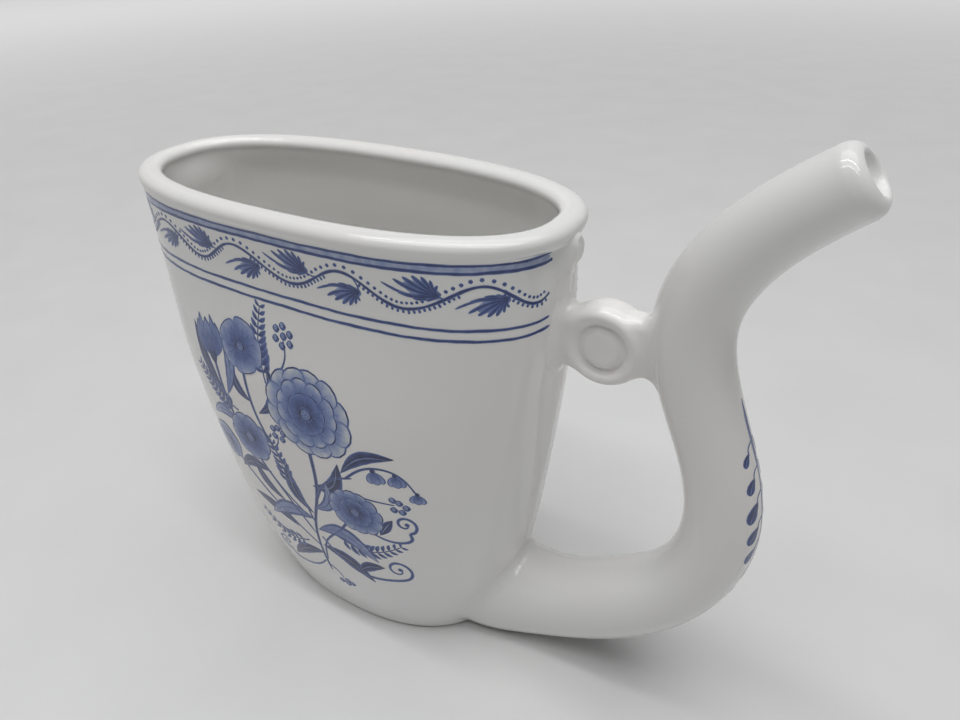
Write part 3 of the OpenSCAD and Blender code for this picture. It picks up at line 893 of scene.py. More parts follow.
def vine(s):
    swell = 0.35 * smooth_step((-40 - s) / 8) * smooth_step((s + 62) / 8)
    return 90.62 + 2.28 * np.cos(vine_phase(s)) + swell


FINGERS = [
    ((-4.6, -0.1), (-8.8, 1.5), 0.24),
    ((-3.7, 0.8), (-6.7, 2.4), 0.34),
    ((-2.9, 1.4), (-5.2, 3.0), 0.38),
    ((-2.1, 1.8), (-3.7, 3.4), 0.38),
    ((-1.4, 1.9), (-2.3, 3.4), 0.36),
    ((-0.8, 1.6), (-1.0, 2.9), 0.32),
    ((-0.4, 1.0), (0.0, 2.0), 0.26),
    ((-3.4, -0.4), (-6.3, 0.1), 0.30),
    ((-2.2, -0.7), (-4.0, -0.7), 0.28),
    ((-1.0, -0.5), (-1.9, -1.0), 0.22),
]


SPRIG_WASH = [(0, 0.4), (0.3, 1.5), (0.65, 1.45), (1, 0.4)]
FINGER = [(0.35, 0.6), (0.78, 1), (0.94, 0.75), (1, 0.2)]


def sprig(ink, base, flip, seed):
    """A feathery palmette, fanned to the left of its base."""
    turn = 0.05 * wobble(seed * 7.0, 3)
    size = (1.1 if flip > 0 else 1.0) + 0.04 * wobble(seed * 5.0, 1)
    up = np.array([1, flip * 0.86])
    own = {"shift": base, "turn": turn, "size": size}
    wash = np.array([(0.3, 0.1), (-2.4, 0.9), (-5.2, 1.7)]) * up
    ink.blade(wash, SPRIG_WASH, (0.66, 0.46), -0.12, 0, **own)
    for k, (bend, tip, width) in enumerate(FINGERS):
        line = np.array([(0, 0), (bend[0] * 0.5, bend[1] * 0.45), bend, tip]) * up
        rows = [(0, 0.1)] + scaled(FINGER, width)
        tones = (0.95, 0.66 + 0.1 * wobble(seed + k, 2))
        ink.blade(line, rows, tones, -0.1, 1 + k % 2, step=0.55, **own)


# Stripes: height, both ends, half width, seed, tone, rise far to the left, drop toward the tube
STRIPES = [
    (96.35, -163.6, 55.6, 0.25, 1, 0.84, 0.3, 0.85),
    (95.1, -163.5, 55.2, 0.31, 2, 0.84, 0, 0.85),
    (85.2, -163, 52.7, 0.27, 3, 0.82, 0, 0.45),
    (83.3, -163, 52.8, 0.28, 4, 0.82, 0, 0.45),
]
VINE_START, VINE_END = -163.0, 52.7
# Bases of the sprigs over and under the vine. Round the back they follow evenly.
BACK_STEPS = -22.0 * np.arange(1, 7)
ABOVE = [(s, 91.5) for s in -14.2 + BACK_STEPS] + [(-14.2, 91.4), (9.3, 91.3), (34.0, 91.1)]
BELOW = [(s, 90.5) for s in -25.8 + BACK_STEPS[:5]] + [
    (-25.8, 90.5), (-2.3, 90.0), (19.9, 90.0), (44.8, 90.6),
]


def stripe_height(s, rise, drop):
    return rise * smooth_step((-10 - s) / 45) - drop * smooth_step((s - 41) / 14)


def make_band(material):
    """The stripes, and under the lip a pale cobalt wash that is also painted shade there, and
    between them the vine with dots and sprigs.
    """
    ink = Print(lambda s, z: on_wall(s / BAND_RUN, z))
    for z, start, end, width, seed, tone, rise, drop in STRIPES:
        s = np.linspace(start, end, 300)
        taper = np.clip(np.minimum(s - start, end - s) + 0.15, 0.1, 0.4) / 0.4
        width = width * (1 + wobble(s, seed + 4, 0.16)) * taper
        rows = np.column_stack([(s - start) / (end - start), width])
        height = z + stripe_height(s, rise, drop) + wobble(s, seed, 0.07)
        ink.blade(np.column_stack([s, height]), rows, tone, -0.22, 1)
    s = np.linspace(-163.3, 53.6, 300)
    # The wash between the top two stripes: pale cobalt pooled in the glaze, and painted shade under
    # the lip's overhang
    ink.blade(np.column_stack([s, 95.75 + stripe_height(s, 0.15, 0.85)]), 0.6, 0.3, 0.0, 0)
    s = np.linspace(VINE_START, VINE_END, 620)
    width = 0.27 * (1 + wobble(s * 1.7, 6, 0.25))
    rows = np.column_stack([(s - VINE_START) / (VINE_END - VINE_START), width])
    line = np.column_stack([s, vine(s)])
    ink.blade(line, rows, 0.86, -0.2, 2)
    run = run_along(line)

    def beside(place):
        """The vine at a length along it: place, point, upward normal and how high it stands."""
        at = np.interp(place, run, s)
        lean = math.atan2(float(vine(at + 0.05) - vine(at - 0.05)), 0.1)
        out = np.array([-math.sin(lean), math.cos(lean)])
        high_up = 0.5 + 0.5 * math.cos(float(vine_phase(at)))
        return at, np.array([at, float(vine(at))]), out, high_up

    place = 0.4
    while place < run[-1] - 0.4:
        at, mid, out, high_up = beside(place)
        off = 1.0 + 0.1 * high_up + 0.06 * wobble(at * 3, 8)
        ink.dot(mid + out * off, 0.28 + 0.1 * high_up, 0.8, 1)
        place += 1.0 + 0.5 * high_up
    place = 0.6
    while place < run[-1] - 0.4:
        at, mid, out, high_up = beside(place)
        if high_up < 0.8:
            tip = mid - out * (0.86 + 0.1 * wobble(at * 4, 5))
            tick = [(0, 0.16), (0.6, 0.25), (0.9, 0.2), (1, 0.06)]
            ink.blade([mid - out * 0.1, tip], tick, 0.8, -0.1, 1, 2, 9)
        place += 0.9
    # each sprig with its stalk down or up to the vine
    for bases, flip, seed, bend, foot in (
        (ABOVE, 1, 0, (1.2, -0.5), 2.6), (BELOW, -1, 0.5, (-0.2, 1.1), -1.1),
    ):
        for k, base in enumerate(bases):
            sprig(ink, base, flip, k + seed)
            end = base[0] + foot
            stalk = [base, (base[0] + bend[0], base[1] + bend[1]), (end, float(vine(end)))]
            ink.blade(stalk, 0.15, 0.74, -0.15, 1)
    ink.make("print_band", material)


# ---- the spray of flowers ----

def toward(angle):
    return np.array([math.cos(angle), math.sin(angle)])


def stem(ink, line, width, tone=0.8):
    rows = scaled([(0, 1.3), (0.5, 1), (0.95, 0.8), (1, 0.3)], width)
    ink.blade(line, rows, tone, -0.15, 1, step=0.8)


def spiral(ink, line, centre, start, turns, size, width):
    """A stalk that ends in a scroll round a centre, closing from the radius size."""
    steps = 22
    angle = start + np.linspace(0, 2 * math.pi * turns, steps)
    radius = size * np.linspace(1, 0.16, steps)
    curl = np.asarray(centre) + radius[:, None] * np.stack([np.cos(angle), np.sin(angle)], 1)
    whole = np.concatenate([np.asarray(line, float), curl])
    rows = scaled([(0, 0.8), (0.4, 1.2), (0.85, 1), (1, 0.5)], width)
    ink.blade(whole, rows, 0.82, -0.15, 1, 2, 0.5)
    ink.dot(curl[-1], width * 1.7, 0.85, 2)


def leaf_blade(ink, line, half, dark, layer=0):
    """A leaf with a midrib: dark all over, or with a dark rim and a lighter face."""
    ink.blade(line, scaled(LANCE, half), (0.9, 0.97), -0.1, layer, 6)
    if dark:
        line = np.asarray(line, float)
        ink.blade(line[:1] * 0.04 + line * 0.96, scaled(LANCE, 0.12), 0.45, 0.1, layer + 1, 2)
    else:
        ink.blade(line, scaled(LANCE, half * 0.66), (0.52, 0.3), 0.14, layer + 1, 6)
        ink.blade(line, scaled(LANCE, 0.13), 0.85, -0.1, layer + 2, 2)


PETAL_RIM = 0.92
VEIN = [(0, 0.1), (0.5, 0.085), (1, 0.03)]


def petal(ink, root, tip, half, layer, tones, bow=0.0, profile=HEART, veins=3):
    """A petal from root to tip: dark rim, shaded face and fine veins."""
    root, tip = np.asarray(root, float), np.asarray(tip, float)
    ahead = tip - root
    side = np.array([-ahead[1], ahead[0]])
    across = side / np.linalg.norm(side) * half
    bend = side * bow
    middle = (root + tip) / 2 + bend
    line = [root, middle, tip + ahead * 0.03]
    ink.blade(line, scaled(profile, half + 0.16), PETAL_RIM, -0.12, layer, 8, 0.6)
    line = [root, middle, tip - ahead * 0.02]
    ink.blade(line, scaled(profile, half - 0.06), tones, 0.14, layer + 1, 8, 0.6)
    for k in range(veins):
        lean = (k - (veins - 1) / 2) / max(1, (veins - 1) / 2) * 0.55
        end = root + ahead * (0.74 - 0.12 * abs(lean)) + across * lean
        mid = root + ahead * 0.4 + across * lean * 0.7 + bend
        ink.blade([root + ahead * 0.08, mid, end], VEIN, 0.9, -0.1, layer + 2, 2, 0.9)


def rosette(ink, centre, radius, count, start, layer, squash, half, inner, tones, veins):
    """A ring of petals round a centre. Without a half width they fill the ring."""
    half = half or radius * math.sin(math.pi / count) * 0.98
    for k in range(count):
        reach = radius * (1 + 0.05 * wobble(k * 3.1, count))
        way = toward(start + 2 * math.pi * k / count) * (1, squash)
        ends = centre + way * inner, centre + way * reach
        bow = 0.04 * wobble(k * 2.3, 4)
        petal(ink, *ends, half, layer + 3 * (k % 2), tones, bow, veins=veins)


def eye(ink, centre, radius, layer):
    """The middle of a flower: a lighter disc with a ring of dots."""
    for share, tone, edge, up in ((1, 0.95, -0.1, 0), (0.66, 0.42, 0.15, 1)):
        r = radius * share
        line = [centre - np.array([r, 0]), centre + np.array([r, 0])]
        ink.blade(line, scaled(ROUND, r), tone, edge, layer + up, 6, 0.4)
    for k in range(9):
        at = centre + radius * 0.42 * toward(2 * math.pi * k / 9)
        ink.dot(at, radius * 0.1, 0.9, layer + 2)
    ink.dot(centre, radius * 0.13, 0.9, layer + 2)


def berry(ink, at, radius):
    ink.dot(at, radius, 0.9, 1)
    ink.dot((at[0] - 0.12, at[1] + 0.12), radius * 0.5, 0.5, 2)


def fern(ink, line, count, length):
    """A stalk with pairs of small leaflets that shorten to its tip."""
    line = np.asarray(line, float)
    run = run_along(line)
    curve = natural_spline(run, line)
    stem(ink, line, 0.15)
    for k in range(count):
        t = 0.14 + 0.84 * k / (count - 1)
        at = curve(np.array(t * run[-1]))
        if t < 0.97:
            ahead = curve(np.array(min(1, t + 0.03) * run[-1])) - at
        else:
            ahead = at - curve(np.array(0.95 * run[-1]))
        way = math.atan2(ahead[1], ahead[0])
        size = length * (1 - 0.6 * t) * (1 if k else 0.8)
        rows = scaled(LANCE, 0.23 * size)
        for lean in (-0.85, 0.85):
            tip = at + size * toward(way + lean)
            mid = (at + tip) / 2 - 0.14 * size * toward(way)
            ink.blade([at, mid, tip], rows, (0.9, 0.62), -0.12, 0, 4, 0.6)


def flower_frame(at, angle, size):
    """Gives the places of a flower's own points, turned, enlarged and set at a point."""
    at = np.asarray(at, float)
    c, s = math.cos(angle), math.sin(angle)
    return lambda x, y: at + size * np.array([x * c - y * s, x * s + y * c])


def bell(ink, at, angle, size):
    """A hanging bell flower: three petals and a calyx."""
    on = flower_frame(at, angle, size)
    for y, bow in ((1.15, 0.12), (-1.15, -0.12)):
        petal(ink, on(0.2, 0), on(2.5, y), 0.62 * size, 2, (0.6, 0.34), bow, veins=1)
    petal(ink, on(0, 0), on(2.7, 0), 0.78 * size, 5, (0.7, 0.36))
    ink.blade([on(-0.5, 0), on(0.5, 0)], scaled(LANCE, 0.5 * size), 0.95, -0.05, 8)


def tulip(ink, at, angle, size):
    on = flower_frame(at, angle, size)
    outer = ((2.6, 6.4, 0.16), (-2.6, 6.4, -0.16), (1.5, 7.6, 0.1), (-1.5, 7.6, -0.1))
    for k, (y, reach, bow) in enumerate(outer):
        petal(ink, on(0.2, y * 0.12), on(reach, y), size, 2 + k, (0.75, 0.38), bow, LANCE)
    petal(ink, on(0, 0), on(7.0, 0), 1.5 * size, 7, (0.8, 0.36), 0, LANCE, 5)
    for y in (-0.9, 0, 0.9):
        line = [on(-1.0, 0), on(0.2, y * 0.6), on(1.7, y)]
        ink.blade(line, scaled(LANCE, 0.36 * size), 0.95, -0.05, 11)


# The spray, in millimetres to the right of the wall's middle and over the table.
# Stalks: line, half width, and the tone where it is darker
STALKS = [
    ([(4.5, 56), (4.5, 44), (1, 31), (1.5, 16)], 0.4, 0.85),
    ([(12.5, 40), (8, 33), (3, 27), (1.5, 20)], 0.3),
    ([(-11, 68), (-9, 57), (-3, 45), (1, 32)], 0.32),
    ([(-20, 66), (-17.5, 55), (-9, 41), (0.5, 28)], 0.34),
    ([(-23.5, 43), (-15, 36), (-6, 29), (1, 24)], 0.28),
    ([(-13.5, 48), (-8, 40), (-0.5, 33)], 0.26),
    ([(3.5, 40), (9, 48), (14.5, 50.5)], 0.28),
]
# Ferns: line, pairs of leaflets, their length
FERNS = [
    ([(-4.5, 66), (-5.5, 74), (-4.0, 82)], 10, 4.2),
    ([(-15, 56), (-21, 58), (-27, 63)], 10, 3.9),
    ([(6, 31), (14.5, 29.5), (23, 34)], 10, 3.9),
    ([(-3, 24), (-11, 21.5), (-18, 25.5)], 9, 3.4),
    ([(-4, 40), (-4.5, 46), (-6.5, 53)], 8, 3.6),
]
# Leaves: line, half width, dark
LEAVES = [
    ([(1.5, 30), (8, 32.5), (16.5, 26.5)], 2.3, False),
    ([(1, 33), (-5.5, 33), (-13.5, 27.5)], 2.2, False),
    ([(1.5, 25), (7.5, 24), (14, 18.5)], 1.9, True),
    ([(1, 22), (-5, 20), (-10.5, 14.5)], 1.7, True),
    ([(3.5, 44), (8.5, 45.5), (11.5, 53)], 1.9, True),
    ([(1.5, 35), (-2.5, 39), (-3, 47.5)], 1.6, True),
    ([(-9, 42), (-15.5, 42), (-20.5, 38)], 1.7, True),
    ([(-15.5, 52), (-21.5, 53.5), (-26.5, 50.5)], 1.6, False),
    ([(-18.5, 58), (-24, 66), (-26, 73)], 1.7, True),
    ([(-17.5, 59), (-15, 66), (-16.5, 73.5)], 1.6, False),
    ([(-8, 58), (-3.5, 62), (-4, 70)], 1.5, True),
    ([(12, 51), (17.5, 56.5), (24.5, 58)], 1.5, True),
    ([(-7, 34.5), (-12, 38), (-14.5, 44)], 1.4, True),
    ([(2, 37), (6.5, 40), (7.2, 46.5)], 1.5, False),
    ([(-5, 27.5), (-12.5, 30.5), (-19, 31)], 1.5, True),
    ([(-10, 60), (-13.5, 62.5), (-14.5, 67)], 1.3, True),
]
# Flowers: centre, radius and layer of the eye, and rings of petals by
# radius, count, first angle, layer, squash, half width, inner radius, tones, veins
FLOWERS = [
    ((5.5, 62.5), 1.7, 20, [
        (10.2, 12, 0.3, 2, 0.94, 2.8, 3.0, (0.85, 0.12), 3),
        (7.6, 11, 0.55, 8, 0.94, 2.1, 1.6, (0.95, 0.22), 1),
        (4.6, 8, 0.2, 14, 0.94, None, 0.8, (0.95, 0.5), 1),
    ]),
    ((-10.8, 72.0), 1.35, 9, [(5.8, 5, 1.2, 2, 0.98, 2.95, 0.8, (0.8, 0.26), 3)]),
    ((13.6, 41.0), 1.4, 14, [
        (6.2, 12, 0.1, 2, 0.96, None, 1.4, (0.9, 0.26), 1),
        (3.9, 9, 0.4, 8, 0.96, None, 0.8, (0.95, 0.45), 0),
    ]),
    ((-13.0, 50.0), 1.7, 9, [(6.0, 9, 0.5, 2, 0.98, None, 1.0, (0.88, 0.28), 1)]),
    ((-23.8, 43.8), 1.2, 9, [(4.8, 7, 0.4, 2, 0.98, None, 0.8, (0.85, 0.3), 1)]),
]
BELLS = [((19.6, 54.1), -1.35, 1.2), ((24.2, 54.2), -1.45, 1.1), ((28.2, 50.2), -1.6, 0.95)]
# Berries: both ends of the twig, and the beads
BERRIES = [
    ((0, 70), (1.2, 76.5), [
        (-0.3, 78.4), (1.4, 79.2), (3.0, 77.9), (1.4, 77.2), (-0.6, 76.4), (2.9, 76.0), (0.9, 75.2),
    ]),
    ((16, 46), (23.2, 46.2), [
        (24.2, 47.0), (25.6, 46.0), (24.6, 44.6), (22.9, 47.5), (22.9, 44.9),
    ]),
    ((-6, 50), (-3.6, 54.5), [
        (-3.2, 56.2), (-1.9, 55.2), (-2.4, 53.6), (-4.6, 55.6), (-4.4, 53.9),
    ]),
    ((1.6, 18), (4.5, 14.6), [(5.4, 14.2), (5.2, 12.9), (6.6, 13.6), (3.6, 13.3)]),
]
# Scrolls: stalk, centre, first angle, turns, radius, half width
SCROLLS = [
    ([(2, 28), (11, 20.5), (19.5, 21.5)], (20.8, 25.6), -1.3, 1.3, 3.4, 0.34),
    ([(0.5, 19), (-6, 13.8), (-12, 14.6)], (-13.2, 17.2), -1.1, -1.25, 2.6, 0.28),
    ([(17, 36), (22, 35), (25.5, 37.5)], (24.6, 41.0), -1.3, 1.25, 2.7, 0.32),
]


def make_spray(name, material, behind):
    """The spray on the front wall, or turned half round the cup on the wall behind."""
    def place(s, z):
        point, normal = on_wall(s / wall_run(z), z)
        return (point * (-1, -1, 1), normal * (-1, -1, 1)) if behind else (point, normal)

    ink = Print(place)
    for stalk in STALKS:
        stem(ink, *stalk)
    for row in FERNS:
        fern(ink, *row)
    for row in LEAVES:
        leaf_blade(ink, *row)
    for centre, radius, layer, rings in FLOWERS:
        for ring in rings:
            rosette(ink, np.array(centre), *ring)
        eye(ink, np.array(centre), radius, layer)
    tulip(ink, (-20.2, 66.5), 1.72, 1.2)
    stem(ink, [(13, 50), (19, 54.5), (25, 54.2), (28.2, 49.8)], 0.24)
    for row in BELLS:
        bell(ink, *row)
    for root, tip, beads in BERRIES:
        middle = ((root[0] + tip[0]) / 2 + 0.8, (root[1] + tip[1]) / 2)
        stem(ink, [root, middle, tip], 0.18)
        for bead in beads:
            berry(ink, bead, 0.85)
    for row in SCROLLS:
        spiral(ink, *row)
    leaf_blade(ink, [(10.5, 21.0), (14.5, 24.5), (17.6, 25.2)], 1.5, True, 2)
    leaf_blade(ink, [(18.5, 36.2), (20.6, 39.6), (22.0, 41.6)], 1.2, True, 2)
    ink.make(name, material)


# ---- the print on the tube, in millimetres round it and along it ----

TUBE_STALK = [
    (0.1, 96.8), (0.1, 90), (0.3, 84), (0.1, 78), (0, 71), (-0.2, 65), (0, 59), (0.3, 54),
]
TUBE_STALK_W = [(0, 0.1), (0.08, 0.5), (0.22, 0.45), (0.3, 0.26), (0.8, 0.26), (1, 0.1)]
# Pairs of drops: root and tip on one side, half width, seed
TUBE_DROPS = [
    ((-1.5, 88.1), (-2.7, 86.2), 0.72, 1),
    ((-1.7, 83.7), (-3.2, 81.5), 1.0, 2),
    ((-1.8, 79.5), (-3.9, 76.4), 1.2, 3),
    ((-1.7, 74.9), (-3.7, 72.3), 1.15, 4),
    ((-1.5, 70.9), (-3.2, 68.3), 1.0, 5),
]
TUBE_TWIGS = [(1, 66.4), (-1, 65.6), (1, 62.6), (-1, 61.6), (1, 58.8), (-1, 57.6)]


def make_tube_print(material):
    """A stalk with pairs of drops down the outer side of the tube."""
    def place(v, s):
        angle = math.pi + v / radius_at(s)
        point = tube_point(s, radius_at(s), angle)
        mid = line_at(s)
        return point, unit(point - np.stack([mid[..., 0], np.zeros_like(s), mid[..., 1]], -1))

    ink = Print(place)
    ink.blade(TUBE_STALK, TUBE_STALK_W, 0.8, -0.15, 1, step=0.8)
    for root, tip, half, seed in TUBE_DROPS:
        for side in (1, -1):
            middle = ((root[0] + tip[0]) / 2 - 0.25, (root[1] + tip[1]) / 2 + 0.15)
            line = np.array([root, middle, tip]) * (side, 1)
            line += (0.35 * wobble(seed * 1.9, 3), 0.5 * (side < 0))
            ink.blade(line, scaled(BUD, half), (0.95, 0.82), -0.1, 0, 6, 0.5)
            ink.blade(line, scaled(DROP, 0.14), 0.6, 0.1, 1, 2, 0.6)
            stalk = [(0.05 * side, line[0][1] + 1.5), line[0] + (0, 0.6), line[0] - (0, 0.3)]
            ink.blade(stalk, 0.14, 0.8, -0.1, 1, 2, 0.4)
    for side, s in TUBE_TWIGS:
        twig = [(0, s), (side * 0.9, s - 0.5), (side * 1.6, s - 1.7)]
        ink.blade(twig, scaled(DROP, 0.36), 0.8, -0.1, 0, 4, 0.5)
    ink.make("print_tube", material)


# ---- materials ----

def node_material(name):
    material = bpy.data.materials.new(name)
    material.use_nodes = True
    tree = material.node_tree
    tree.nodes.clear()
    shader = tree.nodes.new("ShaderNodeBsdfPrincipled")
    out = tree.nodes.new("ShaderNodeOutputMaterial")
    tree.links.new(shader.outputs[0], out.inputs[0])
    return material, tree, shader


def wired(tree, kind, output, inputs, **settings):
    """One output of a new node. Its inputs are links, numbers, vectors or colours."""
    node = tree.nodes.new("ShaderNode" + kind)
    for key, value in settings.items():
        setattr(node, key, value)
    for key, value in inputs.items():
        socket = node.inputs[key]
        if isinstance(value, bpy.types.NodeSocket):
            tree.links.new(value, socket)
        elif np.ndim(value):
            socket.default_value = (*value, 1)[:len(socket.default_value)]
        else:
            socket.default_value = value
    return node.outputs[output]


def coordinate(tree, output="Object"):
    found = [node for node in tree.nodes if node.type == "TEX_COORD"]
    node = found[0] if found else tree.nodes.new("ShaderNodeTexCoord")
    return node.outputs[output]


def noise(tree, scale, detail):
    inputs = {"Vector": coordinate(tree), "Scale": scale, "Detail": detail}
    return wired(tree, "TexNoise", "Fac", inputs)


def ramp(tree, source, stops):
    """Greys or colours by a share, between stops of (share, grey or colour)."""
    node = tree.nodes.new("ShaderNodeValToRGB")
    while len(node.color_ramp.elements) < len(stops):
        node.color_ramp.elements.new(0.5)
    for element, (place, colour) in zip(node.color_ramp.elements, stops):
        element.position = place
        element.color = (*colour, 1) if np.ndim(colour) else (colour, colour, colour, 1)
    tree.links.new(source, node.inputs["Fac"])
    return node.outputs["Color"]


def mixed(tree, share, first, second, mode="MIX"):
    inputs = {"Factor": share, 6: first, 7: second}
    return wired(tree, "Mix", 2, inputs, data_type="RGBA", blend_type=mode)


def map_range(tree, value, low, high, to_low=0, to_high=1, **settings):
    inputs = {
        "Value": value, "From Min": low, "From Max": high, "To Min": to_low, "To Max": to_high,
    }
    return wired(tree, "MapRange", 0, inputs, **settings)


def math_node(tree, operation, first, second):
    return wired(tree, "Math", 0, {0: first, 1: second}, operation=operation)


def vector_math(tree, operation, output, *values):
    return wired(tree, "VectorMath", output, dict(enumerate(values)), operation=operation)


def bumped(tree, shader, layers):
    """Bumps of (height, strength, distance in metres), one over the other."""
    below = {}
    for height, strength, distance in layers:
        inputs = {"Height": height, "Strength": strength, "Distance": distance, **below}
        below = {"Normal": wired(tree, "Bump", 0, inputs)}
    tree.links.new(below["Normal"], shader.inputs["Normal"])


WARM_WHITE = (0.868, 0.846, 0.824)
COOL_WHITE = (0.852, 0.855, 0.844)
# Painted light: a whiter glaze inside the cup, so that the inner walls look more brightly lit
INSIDE_PAINTED_LIGHT = (0.945, 0.94, 0.92)
SPECK_BROWN = (0.30, 0.22, 0.16)
BARE_CLAY = [(0.3, (0.50, 0.46, 0.40)), (0.7, (0.66, 0.62, 0.55))]
BARE_ROUGHNESS = (0.85, 0.85, 0.85)
BARE_BELOW, GLAZED_ABOVE = 0.00022, 0.00042
OUTER_FACING, INNER_FACING = -0.003, -0.014
# Cobalt from the bare glaze to the heaviest ink
COBALT = [
    (0.0, (0.865, 0.86, 0.842)), (0.14, (0.58, 0.62, 0.68)), (0.36, (0.24, 0.31, 0.54)),
    (0.6, (0.085, 0.14, 0.37)), (0.8, (0.035, 0.06, 0.20)), (1.0, (0.018, 0.022, 0.07)),
]
INK_CLOUD = 0.16


def glaze_white(tree):
    """The glaze's own colour: warm and cool white in broad soft clouds, with a few iron specks."""
    cloud = ramp(tree, noise(tree, 24, 2), [(0.35, WARM_WHITE), (0.62, COOL_WHITE)])
    inputs = {"Vector": coordinate(tree), "Scale": 95}
    distance = wired(tree, "TexVoronoi", "Distance", inputs)
    near = ramp(tree, distance, [(0.03, 1.0), (0.055, 0.0)])
    pick = ramp(tree, distance.node.outputs["Color"], [(0.9, 0.0), (0.93, 1.0)])
    return mixed(tree, mixed(tree, 1.0, near, pick, "MULTIPLY"), cloud, SPECK_BROWN)


def glaze_surface(tree, shader):
    """Gloss and unevenness that all the glazed parts share. Gives the roughness."""
    shine = ramp(tree, noise(tree, 60, 3), [(0.3, 0.04), (0.7, 0.08)])
    tree.links.new(shine, shader.inputs["Roughness"])
    shader.inputs["IOR"].default_value = 1.52
    bumped(tree, shader, [
        (noise(tree, 55, 1), 0.12, 0.0012), (noise(tree, 420, 2), 0.05, 0.00025),
    ])
    return shine


def painted_light_inside(tree):
    """Where the painted light inside the cup falls: from 0 on the outside to 1 on the walls that
    face the cup's middle.
    """
    flat = vector_math(tree, "MULTIPLY", "Vector", coordinate(tree), (1, 1, 0))
    facing = vector_math(tree, "DOT_PRODUCT", "Value", flat, coordinate(tree, "Normal"))
    return map_range(tree, facing, OUTER_FACING, INNER_FACING)


def glaze_material(name, foot=False):
    """White glaze. With a foot it has painted light inside the cup, a whiter glaze on the walls
    that face the cup's middle, and the foot ring is bare clay.
    """
    material, tree, shader = node_material(name)
    white = glaze_white(tree)
    shine = glaze_surface(tree, shader)
    if foot:
        # painted light: the walls inside the cup get a whiter glaze, so that they look more
        # brightly lit
        white = mixed(tree, painted_light_inside(tree), white, INSIDE_PAINTED_LIGHT)
        height = wired(tree, "SeparateXYZ", "Z", {0: coordinate(tree)})
        bare = map_range(tree, height, GLAZED_ABOVE, BARE_BELOW)
        white = mixed(tree, bare, white, ramp(tree, noise(tree, 900, 4), BARE_CLAY))
        tree.links.new(mixed(tree, bare, shine, BARE_ROUGHNESS), shader.inputs["Roughness"])
    tree.links.new(white, shader.inputs["Base Color"])
    return material


def cobalt_material():
    """Cobalt under the glaze: washes and lines by the ink laid on, with cloudy unevenness."""
    material, tree, shader = node_material("cobalt_print")
    ink = wired(tree, "Attribute", "Fac", {}, attribute_name="ink")
    cloud = map_range(tree, noise(tree, 700, 3), 0, 1, -INK_CLOUD, INK_CLOUD)
    colour = ramp(tree, math_node(tree, "ADD", ink, cloud), COBALT)
    tree.links.new(colour, shader.inputs["Base Color"])
    glaze_surface(tree, shader)
    return material


body_glaze = glaze_material("body_glaze", foot=True)
tube_glaze = glaze_material("tube_glaze")
leaf_glaze = glaze_material("leaf_glaze")
disc_glaze = glaze_material("disc_glaze")
cobalt = cobalt_material()
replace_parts(make_cup(body_glaze), "cup_body")
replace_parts(make_tube(tube_glaze), "drinking_tube")
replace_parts(make_leaf(leaf_glaze), "relief_leaf")
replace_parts(make_disc(disc_glaze), "bridge_disc")
make_band(cobalt)
make_spray("print_spray_front", cobalt, False)
make_spray("print_spray_back", cobalt, True)
make_tube_print(cobalt)


# ---- floor, world, lamps and camera ----

FLOOR_HALF = 4000
FLOOR_GREY = [(0.3, 0.75), (0.7, 0.78)]
FADE_FROM, FADE_TO, FAR_GLOW = 0.25, 1.6, 0.5
WORLD_GREY = (0.62, 0.62, 0.62, 1)
WORLD_LIGHT, WORLD_SEEN = 0.06, 0.94


def seen_share(tree):
    """1 for the rays that look at the background, straight or in the gloss, and 0 for its light."""
    path = tree.nodes.new("ShaderNodeLightPath").outputs
    seen = math_node(tree, "MAXIMUM", path["Is Camera Ray"], path["Is Glossy Ray"])
    return math_node(tree, "MAXIMUM", seen, path["Is Transmission Ray"])


def make_floor():
    """A wide pale floor that stays pale far from the cup for the rays that look at it."""
    material, tree, shader = node_material("pale_floor")
    away = vector_math(tree, "LENGTH", "Value", coordinate(tree))
    far = map_range(tree, away, FADE_FROM, FADE_TO, 0, FAR_GLOW, interpolation_type="SMOOTHSTEP")
    glow = math_node(tree, "MULTIPLY", far, seen_share(tree))
    tree.links.new(glow, shader.inputs["Emission Strength"])
    shader.inputs["Emission Color"].default_value = (1, 1, 1, 1)
    shader.inputs["Roughness"].default_value = 0.7
    tree.links.new(ramp(tree, noise(tree, 30, 4), FLOOR_GREY), shader.inputs["Base Color"])
    corners = [(x * FLOOR_HALF, y * FLOOR_HALF, 0) for x, y in ((-1, -1), (1, -1), (1, 1), (-1, 1))]
    floor = mesh_object("floor", corners, [(0, 1, 2, 3)])
    floor.data.materials.append(material)


def make_world():
    world = bpy.data.worlds.new("studio")
    scene.world = world
    world.use_nodes = True
    tree = world.node_tree
    background = tree.nodes["Background"]
    background.inputs["Color"].default_value = WORLD_GREY
    seen = math_node(tree, "MULTIPLY", seen_share(tree), WORLD_SEEN)
    strength = math_node(tree, "ADD", seen, WORLD_LIGHT)
    tree.links.new(strength, background.inputs["Strength"])


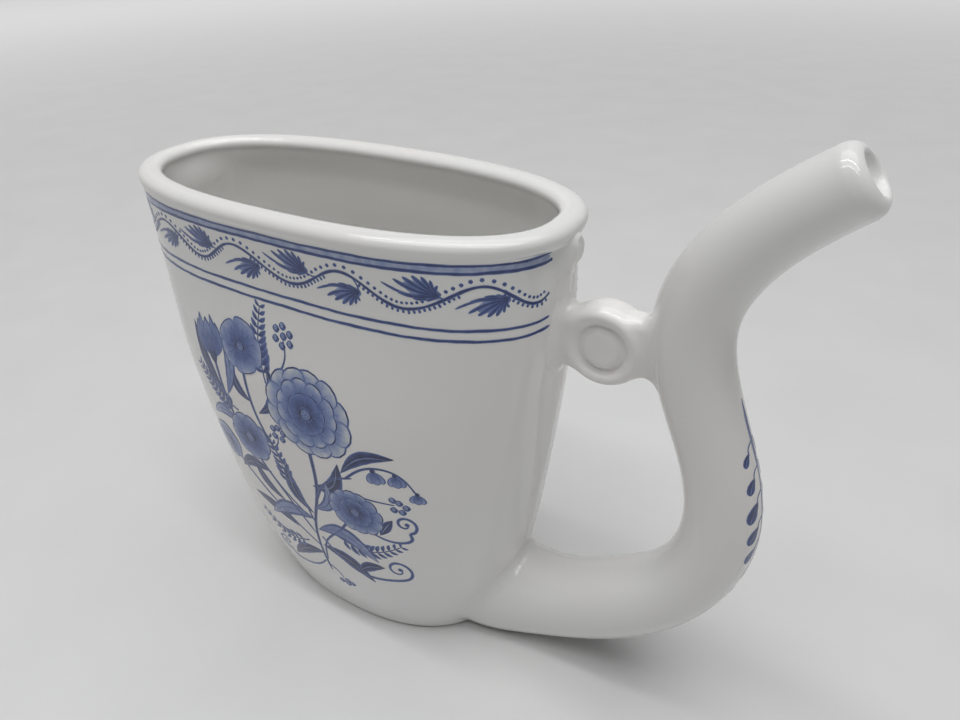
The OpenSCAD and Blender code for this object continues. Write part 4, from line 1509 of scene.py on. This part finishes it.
# Lamps over the table: place and target in metres, both sizes in metres, watts
LAMPS = {
    "top_softbox": ((0, 0.02, 1.2), (0, 0.02, 0), 1.25, 1.25, 9.2),
    "tube_lamp_rear": ((0.05, -0.1, 1.18), (0.05, -0.1, 0), 1.5, 0.07, 3.4),
    "tube_lamp_front": ((0.05, -0.5, 1.18), (0.05, -0.3, 0), 1.5, 0.07, 1.8),
}


def make_lamps():
    for name, (place, target, size_x, size_y, power) in LAMPS.items():
        data = bpy.data.lights.new(name, "AREA")
        data.shape = "RECTANGLE"
        data.size = size_x
        data.size_y = size_y
        data.energy = power
        lamp = linked(name, data)
        lamp.location = place
        aim = Vector(target) - Vector(place)
        lamp.rotation_euler = aim.to_track_quat("-Z", "Y").to_euler()


# The camera that was solved from the photo: angles in radians round a target in millimetres,
# distance and shift in millimetres, focal length in pixels of the photo's width
CAMERA_AZ, CAMERA_EL, CAMERA_ROLL = 0.5838499, 0.5786109, -0.0497369
CAMERA_D, CAMERA_TX, CAMERA_TY = 157.6563, 24.47, 6.5157
CAMERA_TARGET = (0, 0, 50)
CAMERA_F, PHOTO_W, SENSOR_W = 704.236, 960, 36


def make_camera():
    back = Vector((
        math.sin(CAMERA_AZ) * math.cos(CAMERA_EL),
        -math.cos(CAMERA_AZ) * math.cos(CAMERA_EL),
        math.sin(CAMERA_EL),
    ))
    right = Vector((math.cos(CAMERA_AZ), math.sin(CAMERA_AZ), 0))
    up = back.cross(right)
    place = back * CAMERA_D + Vector(CAMERA_TARGET) + right * CAMERA_TX + up * CAMERA_TY
    c, s = math.cos(CAMERA_ROLL), math.sin(CAMERA_ROLL)
    right, up = right * c + up * s, up * c - right * s
    data = bpy.data.cameras.new("camera")
    data.sensor_width = SENSOR_W
    data.lens = CAMERA_F * SENSOR_W / PHOTO_W
    data.clip_start = 0.01
    data.clip_end = 20
    camera = linked("camera", data)
    turn = Matrix((right, up, back)).transposed().to_4x4()
    camera.matrix_world = Matrix.Translation(place * MM) @ turn
    scene.camera = camera


make_floor()
make_world()
make_lamps()
make_camera()
scene.view_settings.view_transform = "Standard"
